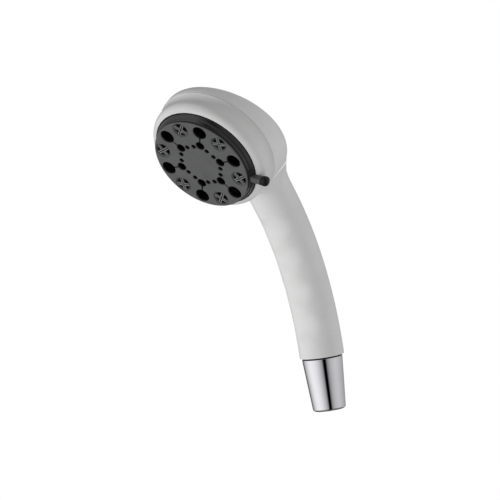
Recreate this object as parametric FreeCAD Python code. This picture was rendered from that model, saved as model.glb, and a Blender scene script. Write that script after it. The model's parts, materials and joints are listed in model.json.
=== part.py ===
"""Handheld shower head: curved handle, tilted round head with a turning spray selector, union nut.

Row frame, millimetres: the origin is the centre of the union nut's lower opening, +Z runs up the
inlet axis, the spray side faces -Y, and +X is the side where the selector lever rests.

Head frame: the origin is the centre of the spray face, x is the row's +X, y runs along the face
towards the handle, and z is the depth behind the face. An angle "clock" is counted from the
handle's side towards +X.
"""
import FreeCAD, Part

import math
import os

V = FreeCAD.Vector
X_AXIS = V(1, 0, 0)
Y_AXIS = V(0, 1, 0)
Z_AXIS = V(0, 0, 1)

# ---- Fits and gaps ---------------------------------------------------------------------------
SLIP = 0.1              # radial room between pieces that are pushed together
RUNNING = 0.06          # radial room of a turning fit
TURN_GAP = 0.4          # room between a turning piece and a fixed wall
TOUCH = 0.05            # room between two pieces that are screwed or snapped together
PAST = 1.0              # how far a cutter runs past the surface it opens

# ---- Union nut and inlet (along Z) -----------------------------------------------------------
NUT_LENGTH = 32.6
NUT_TOP_R = 12.45
NUT_BOTTOM_R = 10.05
NUT_CHAMFER = 0.9
HOSE_BORE_R = 7.5
HOSE_ROOM = 5.8         # from the nut's shelf to the spigot's end, for the hose's cone and washer
THREAD_R = 10.48        # G 1/2, outer radius of the male thread
THREAD_LENGTH = 8.5
THREAD_RELIEF = 0.7
THREAD_NECK = 2.4       # plain neck between thread and handle
WASHER_BORE_R = 6.3
WASHER_THICKNESS = 2.0
WASHER_RIM = 0.5        # how far the washer's rim stays inside the thread
SCREEN_THICKNESS = 0.7
SCREEN_HOLE_R = 0.45
SCREEN_ROWS = 4
SCREEN_RIM = 1.0
NUT_TO_HANDLE = 0.6     # the dark line between nut and handle
INLET_BORE_R = 6.0
REGULATOR_LENGTH = 5.0
REGULATOR_WALL = 1.2
REGULATOR_FLOOR = 1.6
REGULATOR_CIRCLE_R = 2.8
REGULATOR_HOLES = 6
REGULATOR_HOLE_R = 0.8
SPIGOT_FLANGE_THICKNESS = 1.8
SPIGOT_STEM_LENGTH = 15.0
SPIGOT_RING_R = 0.95    # cord radius of the O-ring on the spigot

# ---- Handle ----------------------------------------------------------------------------------
HANDLE_R = 13.65
HANDLE_WALL = 2.8
HANDLE_FOOT = 11.0      # solid length at the bottom that holds the spigot
FOOT_WALL = 4.65        # wall round the spigot's stem
FOOT_RIM = 2.45         # wall round the spigot's flange
HANDLE_FOOT_ROUND = 0.8
LOWER_BEND_R = 239.0
LOWER_BEND = 14.2       # degrees
UPPER_BEND_R = 196.0    # the upper bend ends square to the spray axis
SCALLOPS = 4
SCALLOP_PITCH = 22.8
SCALLOP_FIRST = 21.3    # arc length from the handle's foot to the first scallop
SCALLOP_R = 24.0        # hollow along the handle
SCALLOP_SPREAD_R = 20.0 # rounding across the handle at the scallop's middle
SCALLOP_DEPTH = 1.5

# ---- Water tube ------------------------------------------------------------------------------
TUBE_R = 4.75
TUBE_BORE_R = 3.4
TUBE_SOCKET = 6.5       # length of tube inside each socket
TUBE_RING_R = 0.75      # cord radius of the O-rings on the tube
SOCKET_WALL = 2.6

# ---- Head: place and shell -------------------------------------------------------------------
HEAD_TILT = 31.2        # degrees that the spray axis points below level
NECK_LENGTH = 3.5       # from the shell's edge to the end of the handle's bend
NECK_DEPTH = 37.4       # from the face plane to the handle's axis at that end
NECK_STRAIGHT = 10.4    # widening stretch of the neck, going in
NECK_TAPER = 28.0       # tapering stretch after it, ending inside the back
NECK_TAPER_R = 8.2
NECK_FLARE = 1.5        # how much wider the neck is where it leaves the head
SHELL_WALL = 2.4
BACK_RISE = 10.35       # height of the dome over the shell's edge
BACK_TILT = 12.0        # degrees; the back is deeper on the handle's side
BACK_FAR_DEPTH = 26.35  # depth of the dome's edge on the side away from the handle
BACK_ROUND = 9.5
SEAM_DEPTH = 19.6       # joint between bezel and back shell
SEAM_GAP = 0.15
TONGUE_WALL = 2.1
NECK_SEAM_INSET = 4.4   # the joint of back shell and handle is this far inside the shell's edge
NECK_SEAM_KNEE = 32.0   # depth where that joint turns outwards
NECK_SEAM_SLOPE = 42.0  # degrees
NECK_SEAM_GAP = 0.1
NECK_TONGUE = 12.0
NECK_TONGUE_WALL = 1.5
BOSS_R = 3.6
BOSS_INSET = 4.9        # from the valve plate's edge to the bosses' centres
BOSS_CLOCKS = (75.0, 180.0, 285.0)

# ---- Spray face ------------------------------------------------------------------------------
FACE_R = 31.4
FACE_RIM = 1.4          # thickness of the face's overhanging rim
FACE_SEAT = 0.5         # overhang of that rim
FACE_THICKNESS = 3.4
FACE_EDGE_ROUND = 0.35
OUTER_INSET = 5.6       # from the face's edge to the centres of the outer jets
JETS = 6
LARGE_JET_R = 4.5
NOZZLE_R = 4.7
NOZZLE_SEAT_DEPTH = 2.4
NOZZLE_SEAT_LIP = 1.2
NOZZLE_FRONT = 0.7      # depth of the nozzle's plate below the face
NOZZLE_RIB = 1.0
NOZZLE_RIM = 0.7
NOZZLE_RIB_RISE = 0.4
HEXAGON_INSET = 10.5    # from the outer jets' circle to the hexagon's corners
MEDIUM_JET_R = 2.65
SMALL_JET_R = 1.4
SMALL_JETS_PER_SIDE = 2
SLOT_WIDTH = 0.8
SLOT_DEPTH = 0.8
LEVER_CLOCK = 60.0      # rest position of the lever
SPRAY_STEP = 30.0       # degrees between two spray positions
SPRAY_POSITIONS = 5

# ---- Chambers behind the face ----------------------------------------------------------------
CHAMBER_DEPTH = 8.4     # back edge of the chamber walls
CHAMBER_WALL = 1.5
MASSAGE_MARGIN = 0.35   # between the hexagon's jets and the chamber's wall
GASKET_THICKNESS = 0.6
PLATE_THICKNESS = 2.5
PORT_INSET = 10.9       # from the plate's edge to the ports' centres
PORT_R = 3.0
TURBINE_INSET = 1.7     # between turbine and chamber wall
TURBINE_GAP = 0.5
TURBINE_DISC = 0.8
TURBINE_RIM = 0.9
TURBINE_WINDOW = 70.0   # degrees
TURBINE_WINDOWS = (45.0, 135.0)
TURBINE_HUB_R = 2.6
TURBINE_BLADES = 8
TURBINE_BLADE = 0.8
BLADE_SET = 0.3         # the blades end this far inside the turbine's edge
TURBINE_PIN_R = 1.0
PIN_BOSS_R = 2.4
PIN_BOSS = 0.5
PIN_SINK = 1.2
SWIRL_THICKNESS = 0.9
SWIRL_WIDTH = 8.8
SWIRL_RIM = 1.5
SWIRL_SLOTS = 6
SWIRL_SLOT = 1.6
SWIRL_SLANT = 25.0      # degrees

# ---- Selector ring and lever -----------------------------------------------------------------
RING_FLARE = 2.1        # how much wider the ring is at the bezel than at the face
RING_FLARE_DEPTH = 6.3
RING_BULGE = 0.35
LEVER_WIDTH = 4.6
LEVER_FRONT = 2.2
LEVER_BACK = 7.2
LEVER_ROOT = 0.3        # the lever starts this far outside the ring's bore
KNOB_R = 3.0
KNOB_DEPTH = 5.4
KNOB_SET = 0.5          # the knob starts this far inside the shell's edge
KNOB_REACH = 3.7        # and ends this far outside it
LEVER_CLEARANCE = 0.5

# ---- Bezel -----------------------------------------------------------------------------------
BEZEL_FRONT = 6.1
BEZEL_LIP = 0.4         # width of the flat lip round the bore
BEZEL_CREST = 1.4       # the crest is this much inside the shell's radius
BEZEL_CREST_DEPTH = 11.2
BEZEL_BULGE = 0.75      # how far the rounded front stands out of a straight cone
BEZEL_WAIST = 0.3       # hollow of the waist behind the crest
BEZEL_SWELL = 0.4       # the swell behind the waist is this much inside the shell's radius
BEZEL_SWELL_DEPTH = 16.4
BEZEL_WALL = 1.8
BEZEL_WIDTH = 5.4       # from the ring to the shell's edge

# ---- Spindle and valve body ------------------------------------------------------------------
SPINDLE_R = 4.0
SPINDLE_RING_R = 0.6    # cord radius of the O-ring on the spindle
VALVE_PLATE = 3.3
VALVE_HUB_R = 8.6
VALVE_HUB = 9.5
SOCKET_SET = 1.0        # the tube's socket ends this far inside the neck joint
PORT_POCKET_R = 5.0
PORT_POCKET = 8.0
PORT_BOSS_WALL = 2.2
DUCT_R = 3.2
DUCT_WALL = 2.4
SEAL_LENGTH = 3.4
SEAL_BORE_R = 2.6
SEAL_CUP_R = 4.0
SEAL_CUP = 1.8
SEAL_LIFT = 0.12
SPRING_R = 3.35
SPRING_WIRE_R = 0.4
SPRING_TURNS = 4
WASHER_DISC_R = 7.0
WASHER_DISC = 1.0
SPINDLE_SCREW_R = 1.5
SPINDLE_SCREW_LENGTH = 9.0
SPINDLE_SCREW_HEAD_R = 3.0
SPINDLE_SCREW_HEAD = 2.0
VALVE_SCREW_R = 1.4
VALVE_SCREW_HEAD_R = 2.7
VALVE_SCREW_HEAD = 1.7
VALVE_SCREW_LENGTH = 9.0
DRIVE_WIDTH = 0.8       # slot or cross in a screw's head
DRIVE_DEPTH = 0.8
DRIVE_LENGTH = 4.0
CLICK_INSET = 3.9       # from the plate's edge to the circle of dimples
CLICK_CLOCK = 128.0
CLICK_STRIP = 0.4
CLICK_STRIP_WIDTH = 3.2
CLICK_SPAN = 44.0       # degrees
CLICK_PLAY = 2.0        # degrees that the pocket is longer than its strip
CLICK_POCKET = 2.0
CLICK_NOSE_R = 1.1
CLICK_DIMPLE = 0.8

# ---- What follows from them ------------------------------------------------------------------
HANDLE_BASE = NUT_LENGTH + NUT_TO_HANDLE
THREAD_TOP = HANDLE_BASE - THREAD_NECK
SPIGOT_END = THREAD_TOP - THREAD_LENGTH
HOSE_BORE_LENGTH = SPIGOT_END - HOSE_ROOM
SPIGOT_STEM_R = HANDLE_R - FOOT_WALL
SPIGOT_FLANGE_R = HANDLE_R - FOOT_RIM
SPIGOT_TOP = HANDLE_BASE + SPIGOT_STEM_LENGTH
TUBE_START = SPIGOT_TOP - TUBE_SOCKET
FACE_BODY_R = FACE_R - FACE_SEAT
OUTER_CIRCLE_R = FACE_R - OUTER_INSET
HEXAGON_R = OUTER_CIRCLE_R - HEXAGON_INSET
MASSAGE_CHAMBER_R = HEXAGON_R + MEDIUM_JET_R + MASSAGE_MARGIN
TURBINE_R = MASSAGE_CHAMBER_R - TURBINE_INSET
SWIRL_INNER_R = MASSAGE_CHAMBER_R - SWIRL_WIDTH
PORT_CIRCLE_R = FACE_BODY_R - PORT_INSET
CLICK_CIRCLE_R = FACE_BODY_R - CLICK_INSET
RING_FRONT = FACE_RIM + TOUCH
RING_BACK_R = FACE_R + RING_FLARE
SHELL_R = RING_BACK_R + BEZEL_WIDTH
KNOB_START = SHELL_R - KNOB_SET
KNOB_TIP = SHELL_R + KNOB_REACH
NECK_REACH = SHELL_R + NECK_LENGTH
NECK_SEAM = SHELL_R - NECK_SEAM_INSET
SOCKET_MOUTH = NECK_SEAM - SOCKET_SET
BACK_BALL_R = (SHELL_R ** 2 + BACK_RISE ** 2) / (2 * BACK_RISE)
BACK_EDGE_DEPTH = BACK_FAR_DEPTH + SHELL_R * math.tan(math.radians(BACK_TILT))
PLATE_FRONT = CHAMBER_DEPTH + GASKET_THICKNESS
PLATE_BACK = PLATE_FRONT + PLATE_THICKNESS
VALVE_FRONT = PLATE_BACK + TURN_GAP
VALVE_BACK = VALVE_FRONT + VALVE_PLATE
VALVE_R = SHELL_R - SHELL_WALL - TONGUE_WALL
BOSS_PLACE_R = VALVE_R - BOSS_INSET
HUB_BACK = VALVE_FRONT + VALVE_HUB
SPINDLE_END = HUB_BACK + TURN_GAP
BEZEL_BORE_R = RING_BACK_R + TURN_GAP
POCKET_BACK = VALVE_FRONT + PORT_POCKET
DEEP = 4 * NECK_DEPTH   # deeper than anything in the head


# ---- Shapes ----------------------------------------------------------------------------------
def outline(points):
    """Closed wire in the XZ plane: (x, z) ends a line, (mid x, mid z, x, z) ends an arc."""
    edges = []
    last = V(points[0][0], 0, points[0][1])
    for point in points[1:] + points[:1]:
        end = V(point[-2], 0, point[-1])
        if len(point) == 4:
            edges.append(Part.Arc(last, V(point[0], 0, point[1]), end).toShape())
        else:
            edges.append(Part.LineSegment(last, end).toShape())
        last = end
    return Part.Wire(edges)


def turned(points):
    """Solid of revolution about Z of an outline given as radius and height."""
    return Part.Face(outline(points)).revolve(V(), Z_AXIS, 360)


def disc(radius, low, high, centre=(0, 0)):
    return Part.makeCylinder(radius, high - low, V(centre[0], centre[1], low), Z_AXIS)


def pipe(bore, radius, low, high, centre=(0, 0)):
    return disc(radius, low, high, centre).cut(disc(bore, low - PAST, high + PAST, centre))


def block(x_low, x_high, y_low, y_high, z_low, z_high):
    size = (x_high - x_low, y_high - y_low, z_high - z_low)
    return Part.makeBox(*size, V(x_low, y_low, z_low))


def o_ring(radius, cord, place, axis=Z_AXIS):
    return Part.makeTorus(radius, cord, place, axis)


def clock(radius, degrees):
    """Point on a circle in the head frame."""
    turn = math.radians(degrees)
    return (radius * math.sin(turn), radius * math.cos(turn))


def turned_to(shape, degrees):
    """A copy of a shape drawn on the handle's side, turned to a clock angle."""
    copy = shape.copy()
    copy.rotate(V(), Z_AXIS, -degrees)
    return copy


def pattern(shape, count, first=0.0, step=None):
    step = 360.0 / count if step is None else step
    return [turned_to(shape, first + step * i) for i in range(count)]


def joined(shapes):
    return shapes[0].multiFuse(list(shapes[1:])).removeSplitter()


# ---- Handle axis and head place --------------------------------------------------------------
def along(turn):
    """Unit vector along the handle's axis after turning by so many degrees."""
    return V(0, -math.sin(math.radians(turn)), math.cos(math.radians(turn)))


def outward(turn):
    """Unit vector from the bend's centre to the handle's axis."""
    return V(0, math.cos(math.radians(turn)), math.sin(math.radians(turn)))


def bend_end(start, first, turn, bend_r):
    return start + (outward(first + turn) - outward(first)) * bend_r


def bent_rod(radius, start, first, turn, bend_r):
    """Round rod whose axis bends by an arc of turn degrees."""
    section = Part.Face(Part.Wire(Part.makeCircle(radius, start, along(first))))
    return section.revolve(start - outward(first) * bend_r, X_AXIS, turn)


UPPER_BEND = HEAD_TILT - LOWER_BEND
FOOT = V(0, 0, HANDLE_BASE)
KNEE = bend_end(FOOT, 0, LOWER_BEND, LOWER_BEND_R)
NECK = bend_end(KNEE, LOWER_BEND, UPPER_BEND, UPPER_BEND_R)
TOWARDS_HANDLE = along(HEAD_TILT) * -1
DEPTH_AXIS = outward(HEAD_TILT)
FACE_CENTRE = NECK - TOWARDS_HANDLE * NECK_REACH - DEPTH_AXIS * NECK_DEPTH
HEAD = FreeCAD.Placement(FACE_CENTRE, FreeCAD.Rotation(X_AXIS, HEAD_TILT - 90))


def in_head(shape):
    placed = shape.copy()
    placed.Placement = HEAD.multiply(placed.Placement)
    return placed


# ---- Outer form of handle and head, and the hollow inside it (inset by the wall) ---------------
def handle_rod(inset):
    radius = HANDLE_R - inset
    lower = bent_rod(radius, FOOT, 0, LOWER_BEND, LOWER_BEND_R)
    upper = bent_rod(radius, KNEE, LOWER_BEND, UPPER_BEND, UPPER_BEND_R)
    return lower.fuse(upper)


def neck(inset):
    """End of the handle, widening up to the head and tapering inside it, in the head frame."""
    inner = NECK_REACH - NECK_STRAIGHT
    wide_r = HANDLE_R + NECK_FLARE - inset
    straight = Part.makeCone(wide_r, HANDLE_R - inset, NECK_STRAIGHT, V(0, inner, NECK_DEPTH), Y_AXIS)
    tip = V(0, inner - NECK_TAPER, NECK_DEPTH)
    taper = Part.makeCone(NECK_TAPER_R - inset, wide_r, NECK_TAPER, tip, Y_AXIS)
    return straight.fuse(taper)


def neck_rod(radius, start, end):
    """Round rod on the neck's axis between two distances from the spray axis, in the head frame."""
    return Part.makeCylinder(radius, end - start, V(0, start, NECK_DEPTH), Y_AXIS)


def on_wall(edge, radius, front):
    """Whether an edge runs round a wall of that radius, behind its front edge."""
    middle = edge.valueAt((edge.FirstParameter + edge.LastParameter) / 2)
    on_radius = abs(math.hypot(middle.x, middle.y) - radius) < 0.01
    return on_radius and middle.z > front + PAST and edge.BoundBox.XLength > PAST


def drum(inset, front):
    """Round back of the head: a wall closed by a tilted dome, with a rounded edge."""
    tilt = math.radians(BACK_TILT)
    drop = BACK_BALL_R - BACK_RISE
    centre = V(0, drop * math.sin(tilt), BACK_EDGE_DEPTH - drop * math.cos(tilt))
    ball = Part.makeSphere(BACK_BALL_R - inset, centre)
    body = disc(SHELL_R - inset, front, DEEP).common(ball)
    rim = [edge for edge in body.Edges if on_wall(edge, SHELL_R - inset, front)]
    return body.makeFillet(BACK_ROUND - inset, rim)


def handle_side(gap):
    """Block that holds everything on the handle's side of the neck joint, in the head frame."""
    slope = math.radians(NECK_SEAM_SLOPE)
    start = NECK_SEAM + gap
    run = V(0, math.cos(slope), -math.sin(slope)) * 2 * DEEP
    corners = [
        V(0, start, DEEP),
        V(0, start, NECK_SEAM_KNEE),
        V(0, start, NECK_SEAM_KNEE) + run,
        V(0, start + 2 * DEEP, DEEP),
    ]
    face = Part.Face(Part.makePolygon(corners + corners[:1]))
    face.translate(V(-DEEP, 0, 0))
    return face.extrude(V(2 * DEEP, 0, 0))


def scallop_cutter(index):
    """Ring round the handle, set back from its axis, that cuts one finger scallop in its front."""
    length = SCALLOP_FIRST + SCALLOP_PITCH * index
    lower_length = math.radians(LOWER_BEND) * LOWER_BEND_R
    if length < lower_length:
        turn = math.degrees(length / LOWER_BEND_R)
        point = bend_end(FOOT, 0, turn, LOWER_BEND_R)
    else:
        turn = LOWER_BEND + math.degrees((length - lower_length) / UPPER_BEND_R)
        point = bend_end(KNEE, LOWER_BEND, turn - LOWER_BEND, UPPER_BEND_R)
    centre = point + outward(turn) * (SCALLOP_SPREAD_R - HANDLE_R + SCALLOP_DEPTH)
    return Part.makeTorus(SCALLOP_SPREAD_R + SCALLOP_R, SCALLOP_R, centre, along(turn))


# ---- Pieces of the handle and inlet ------------------------------------------------------------
def handle_shell():
    rod = handle_rod(0)
    foot_edges = [e for e in rod.Edges if e.BoundBox.ZMax < HANDLE_BASE + 0.01]
    rod = rod.makeFillet(HANDLE_FOOT_ROUND, foot_edges)
    body = rod.fuse(in_head(neck(0)))
    hollow_start = HANDLE_BASE + HANDLE_FOOT
    hollow = handle_rod(HANDLE_WALL)
    hollow = hollow.cut(disc(2 * HANDLE_R, HANDLE_BASE - PAST, hollow_start))
    hollow = hollow.fuse(in_head(neck(HANDLE_WALL)))
    body = body.cut(hollow).cut([scallop_cutter(i) for i in range(SCALLOPS)])
    flange_top = HANDLE_BASE + SPIGOT_FLANGE_THICKNESS
    body = body.cut(disc(SPIGOT_STEM_R + SLIP, HANDLE_BASE - PAST, hollow_start + PAST))
    body = body.cut(disc(SPIGOT_FLANGE_R + SLIP, HANDLE_BASE - PAST, flange_top))
    body = body.common(in_head(handle_side(NECK_SEAM_GAP)))
    return body.cut(in_head(drum(-TOUCH, SEAM_DEPTH)))


def union_nut():
    wall_slope = (NUT_TOP_R - NUT_BOTTOM_R) / NUT_LENGTH
    thread_bore = THREAD_R + RUNNING
    return turned([
        (HOSE_BORE_R, 0),
        (NUT_BOTTOM_R - NUT_CHAMFER, 0),
        (NUT_BOTTOM_R + wall_slope * NUT_CHAMFER, NUT_CHAMFER),
        (NUT_TOP_R, NUT_LENGTH),
        (thread_bore, NUT_LENGTH),
        (thread_bore, HOSE_BORE_LENGTH),
        (HOSE_BORE_R, HOSE_BORE_LENGTH),
    ])


def spigot_ring_height():
    return HANDLE_BASE + (SPIGOT_FLANGE_THICKNESS + HANDLE_FOOT) / 2


def inlet_spigot():
    flange_top = HANDLE_BASE + SPIGOT_FLANGE_THICKNESS
    groove_bottom = SPIGOT_STEM_R - 2 * SPIGOT_RING_R
    groove = spigot_ring_height()
    body = turned([
        (0, SPIGOT_END),
        (THREAD_R, SPIGOT_END),
        (THREAD_R, THREAD_TOP),
        (THREAD_R - THREAD_RELIEF, THREAD_TOP),
        (THREAD_R - THREAD_RELIEF, HANDLE_BASE),
        (SPIGOT_FLANGE_R, HANDLE_BASE),
        (SPIGOT_FLANGE_R, flange_top - TOUCH),
        (SPIGOT_STEM_R, flange_top - TOUCH),
        (SPIGOT_STEM_R, groove - SPIGOT_RING_R - SLIP),
        (groove_bottom, groove - SPIGOT_RING_R - SLIP),
        (groove_bottom, groove + SPIGOT_RING_R + SLIP),
        (SPIGOT_STEM_R, groove + SPIGOT_RING_R + SLIP),
        (SPIGOT_STEM_R, SPIGOT_TOP),
        (0, SPIGOT_TOP),
    ])
    body = body.cut(disc(INLET_BORE_R, SPIGOT_END - PAST, HANDLE_BASE))
    body = body.cut(disc(TUBE_BORE_R, SPIGOT_END, SPIGOT_TOP))
    return body.cut(tube_socket(SPIGOT_TOP, TUBE_SOCKET))


def tube_socket(mouth, length):
    """Bore along Z that takes the tube's end and its O-ring, with its mouth at the top."""
    middle = mouth - length / 2
    half = TUBE_RING_R + SLIP
    bore = disc(TUBE_R + SLIP, mouth - length, mouth + PAST)
    groove = disc(TUBE_R + 2 * TUBE_RING_R, middle - half, middle + half)
    return bore.fuse(groove)


def spigot_o_ring():
    radius = SPIGOT_STEM_R - SPIGOT_RING_R + TOUCH
    return o_ring(radius, SPIGOT_RING_R - TOUCH / 2, V(0, 0, spigot_ring_height()))


def flow_regulator():
    low = SPIGOT_END + TOUCH
    high = low + REGULATOR_LENGTH
    body = disc(INLET_BORE_R - SLIP, low, high)
    hollow = disc(INLET_BORE_R - SLIP - REGULATOR_WALL, low + REGULATOR_FLOOR, high + PAST)
    hole = disc(REGULATOR_HOLE_R, low - PAST, high, (0, REGULATOR_CIRCLE_R))
    return body.cut(hollow).cut(pattern(hole, REGULATOR_HOLES))


def hose_washer():
    high = SPIGOT_END - TOUCH
    return pipe(WASHER_BORE_R, THREAD_R - WASHER_RIM, high - WASHER_THICKNESS, high)


def filter_screen():
    """Perforated disc held in the washer's hole."""
    high = SPIGOT_END - TOUCH - (WASHER_THICKNESS - SCREEN_THICKNESS) / 2
    low = high - SCREEN_THICKNESS
    body = disc(WASHER_BORE_R - SLIP, low, high)
    pitch = (WASHER_BORE_R - SLIP - SCREEN_RIM) / SCREEN_ROWS
    holes = []
    for row in range(1, SCREEN_ROWS + 1):
        hole = disc(SCREEN_HOLE_R, low - PAST, high + PAST, (0, pitch * row))
        holes += pattern(hole, 6 * row)
    return body.cut(holes)


# ---- Water tube --------------------------------------------------------------------------------
TUBE_BEND_START = V(0, 0, SPIGOT_TOP)
START_DEPTH = (TUBE_BEND_START - FACE_CENTRE).dot(DEPTH_AXIS)
TUBE_BEND_R = (NECK_DEPTH - START_DEPTH) / (1 - math.cos(math.radians(HEAD_TILT)))
TUBE_BEND_END = bend_end(TUBE_BEND_START, 0, HEAD_TILT, TUBE_BEND_R)
TUBE_END = SOCKET_MOUTH - TUBE_SOCKET + TOUCH


def tube_rod(radius):
    straight = disc(radius, TUBE_START + TOUCH, SPIGOT_TOP)
    bend = bent_rod(radius, TUBE_BEND_START, 0, HEAD_TILT, TUBE_BEND_R)
    reach = (TUBE_BEND_END - FACE_CENTRE).dot(TOWARDS_HANDLE) - TUBE_END
    end = Part.makeCylinder(radius, reach, TUBE_BEND_END, along(HEAD_TILT))
    return joined([straight, bend, end])


def water_tube():
    return tube_rod(TUBE_R).cut(tube_rod(TUBE_BORE_R))


def tube_o_rings():
    radius = TUBE_R + TUBE_RING_R
    cord = TUBE_RING_R - TOUCH / 2
    lower = o_ring(radius, cord, V(0, 0, SPIGOT_TOP - TUBE_SOCKET / 2))
    upper = o_ring(radius, cord, V(0, SOCKET_MOUTH - TUBE_SOCKET / 2, NECK_DEPTH), Y_AXIS)
    return Part.makeCompound([lower, in_head(upper)])


# ---- Fixed pieces of the head --------------------------------------------------------------------
def head_back_shell():
    outer = drum(0, SEAM_DEPTH + SEAM_GAP).fuse(neck(0))
    outer = outer.cut(handle_side(0))
    inner = drum(SHELL_WALL, SEAM_DEPTH - PAST).fuse(neck(HANDLE_WALL))
    shell = outer.cut(inner)
    tongue_r = SHELL_R - BEZEL_WALL - SLIP
    step = SEAM_DEPTH + SEAM_GAP + SHELL_WALL
    tongue = pipe(VALVE_R + SLIP, tongue_r, BEZEL_SWELL_DEPTH + TOUCH, step)
    collar_start = NECK_SEAM - SHELL_WALL
    collar_r = HANDLE_R - HANDLE_WALL - SLIP
    collar = neck_rod(collar_r, collar_start, collar_start + NECK_TONGUE)
    web = neck_rod(HANDLE_R - SLIP, collar_start, NECK_SEAM)
    hole = neck_rod(collar_r - NECK_TONGUE_WALL, collar_start - PAST, NECK_SEAM + NECK_TONGUE)
    shell = joined([shell, tongue, collar.fuse(web).cut(hole)])
    place = (0, BOSS_PLACE_R)
    boss = disc(BOSS_R, VALVE_BACK + TOUCH, DEEP, place)
    pilot = disc(VALVE_SCREW_R + TOUCH, VALVE_BACK - PAST, VALVE_BACK + VALVE_SCREW_LENGTH, place)
    inside = drum(SHELL_WALL / 2, VALVE_FRONT)
    bosses = [turned_to(boss, angle).common(inside) for angle in BOSS_CLOCKS]
    pilots = [turned_to(pilot, angle) for angle in BOSS_CLOCKS]
    return in_head(joined([shell] + bosses).cut(pilots))


def bezel_outer(gap):
    """Points of the bezel's visible profile, from its front lip to the joint, moved out by a gap."""
    lip_r = BEZEL_BORE_R + BEZEL_LIP
    crest_r = SHELL_R - BEZEL_CREST
    swell_r = SHELL_R - BEZEL_SWELL
    bulge = BEZEL_BULGE + gap
    front_mid = ((lip_r + crest_r) / 2 + bulge, (BEZEL_FRONT + BEZEL_CREST_DEPTH) / 2 - bulge)
    waist_r = (crest_r + swell_r) / 2 - BEZEL_WAIST
    waist_mid = (waist_r + gap, (BEZEL_CREST_DEPTH + BEZEL_SWELL_DEPTH) / 2)
    return [
        (lip_r, BEZEL_FRONT - gap),
        front_mid + (crest_r + gap, BEZEL_CREST_DEPTH),
        waist_mid + (swell_r + gap, BEZEL_SWELL_DEPTH),
        (SHELL_R + gap, SEAM_DEPTH),
    ]


def head_bezel():
    skirt_r = VALVE_R
    skirt_end = VALVE_FRONT - TOUCH
    inner_r = SHELL_R - BEZEL_WALL
    profile = [(BEZEL_BORE_R, skirt_end), (BEZEL_BORE_R, BEZEL_FRONT)]
    profile += bezel_outer(0)
    profile += [
        (inner_r, SEAM_DEPTH),
        (inner_r, BEZEL_SWELL_DEPTH),
        (skirt_r, skirt_end),
    ]
    return in_head(turned(profile))


def valve_body():
    plate = disc(VALVE_R - SLIP, VALVE_FRONT, VALVE_BACK)
    hub = disc(VALVE_HUB_R, VALVE_FRONT, HUB_BACK)
    port = (0, PORT_CIRCLE_R)
    boss = disc(PORT_POCKET_R + PORT_BOSS_WALL, VALVE_FRONT, POCKET_BACK + DUCT_WALL, port)
    duct_r = DUCT_R + DUCT_WALL
    bend = V(0, PORT_CIRCLE_R, NECK_DEPTH)
    riser = disc(duct_r, VALVE_FRONT, NECK_DEPTH, port)
    corner = Part.makeSphere(duct_r, bend)
    cross = neck_rod(duct_r, PORT_CIRCLE_R, SOCKET_MOUTH)
    socket = neck_rod(TUBE_R + SOCKET_WALL, SOCKET_MOUTH - TUBE_SOCKET - DUCT_WALL, SOCKET_MOUTH)
    body = joined([plate, hub, boss, riser, corner, cross, socket])
    water = disc(DUCT_R, VALVE_FRONT, NECK_DEPTH, port).fuse(Part.makeSphere(DUCT_R, bend))
    water = water.fuse(neck_rod(DUCT_R, PORT_CIRCLE_R, SOCKET_MOUTH))
    mouth = tube_socket(SOCKET_MOUTH, TUBE_SOCKET)
    mouth.rotate(V(), X_AXIS, -90)
    mouth.translate(V(0, 0, NECK_DEPTH))
    low = VALVE_FRONT - PAST
    pocket = disc(PORT_POCKET_R, low, POCKET_BACK, port)
    bore = disc(SPINDLE_R + RUNNING, low, HUB_BACK + PAST)
    place = (0, BOSS_PLACE_R)
    seat = disc(VALVE_SCREW_HEAD_R + SLIP, low, VALVE_FRONT + VALVE_SCREW_HEAD + SLIP, place)
    hole = disc(VALVE_SCREW_R + SLIP, low, VALVE_BACK + PAST, place)
    screws = [turned_to(seat.fuse(hole), angle) for angle in BOSS_CLOCKS]
    return in_head(body.cut([water, mouth, pocket, bore, click_pocket()] + screws))


def sector(inner, outer, low, high, span, at):
    """Part of a flat ring that spans some degrees about a clock angle."""
    sides = [V(*clock(2 * outer, -span / 2), 0), V(*clock(2 * outer, span / 2), 0)]
    wedge = Part.Face(Part.makePolygon([V()] + sides + [V()])).extrude(V(0, 0, high - low))
    wedge.translate(V(0, 0, low))
    return turned_to(pipe(inner, outer, low, high).common(wedge), at)


def click_pocket():
    half = CLICK_STRIP_WIDTH / 2 + SLIP
    radii = (CLICK_CIRCLE_R - half, CLICK_CIRCLE_R + half)
    depths = (VALVE_FRONT - PAST, VALVE_FRONT + CLICK_POCKET)
    return sector(*radii, *depths, CLICK_SPAN, CLICK_CLOCK)


def click_spring():
    """Steel strip with a pressed nose that drops into the plate's dimples."""
    half = CLICK_STRIP_WIDTH / 2
    high = VALVE_FRONT + CLICK_POCKET - TOUCH
    low = high - CLICK_STRIP
    radii = (CLICK_CIRCLE_R - half, CLICK_CIRCLE_R + half)
    strip = sector(*radii, low, high, CLICK_SPAN - CLICK_PLAY, CLICK_CLOCK)
    place = clock(CLICK_CIRCLE_R, CLICK_CLOCK)
    tip = PLATE_BACK - CLICK_DIMPLE / 2
    nose = disc(CLICK_NOSE_R, tip + CLICK_NOSE_R, high, place)
    ball = Part.makeSphere(CLICK_NOSE_R, V(place[0], place[1], tip + CLICK_NOSE_R))
    return in_head(joined([strip, nose, ball]))


def drive(low, high):
    """Bar that cuts the slot of a screw's head."""
    half = DRIVE_WIDTH / 2
    return block(-half, half, -DRIVE_LENGTH / 2, DRIVE_LENGTH / 2, low, high)


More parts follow.
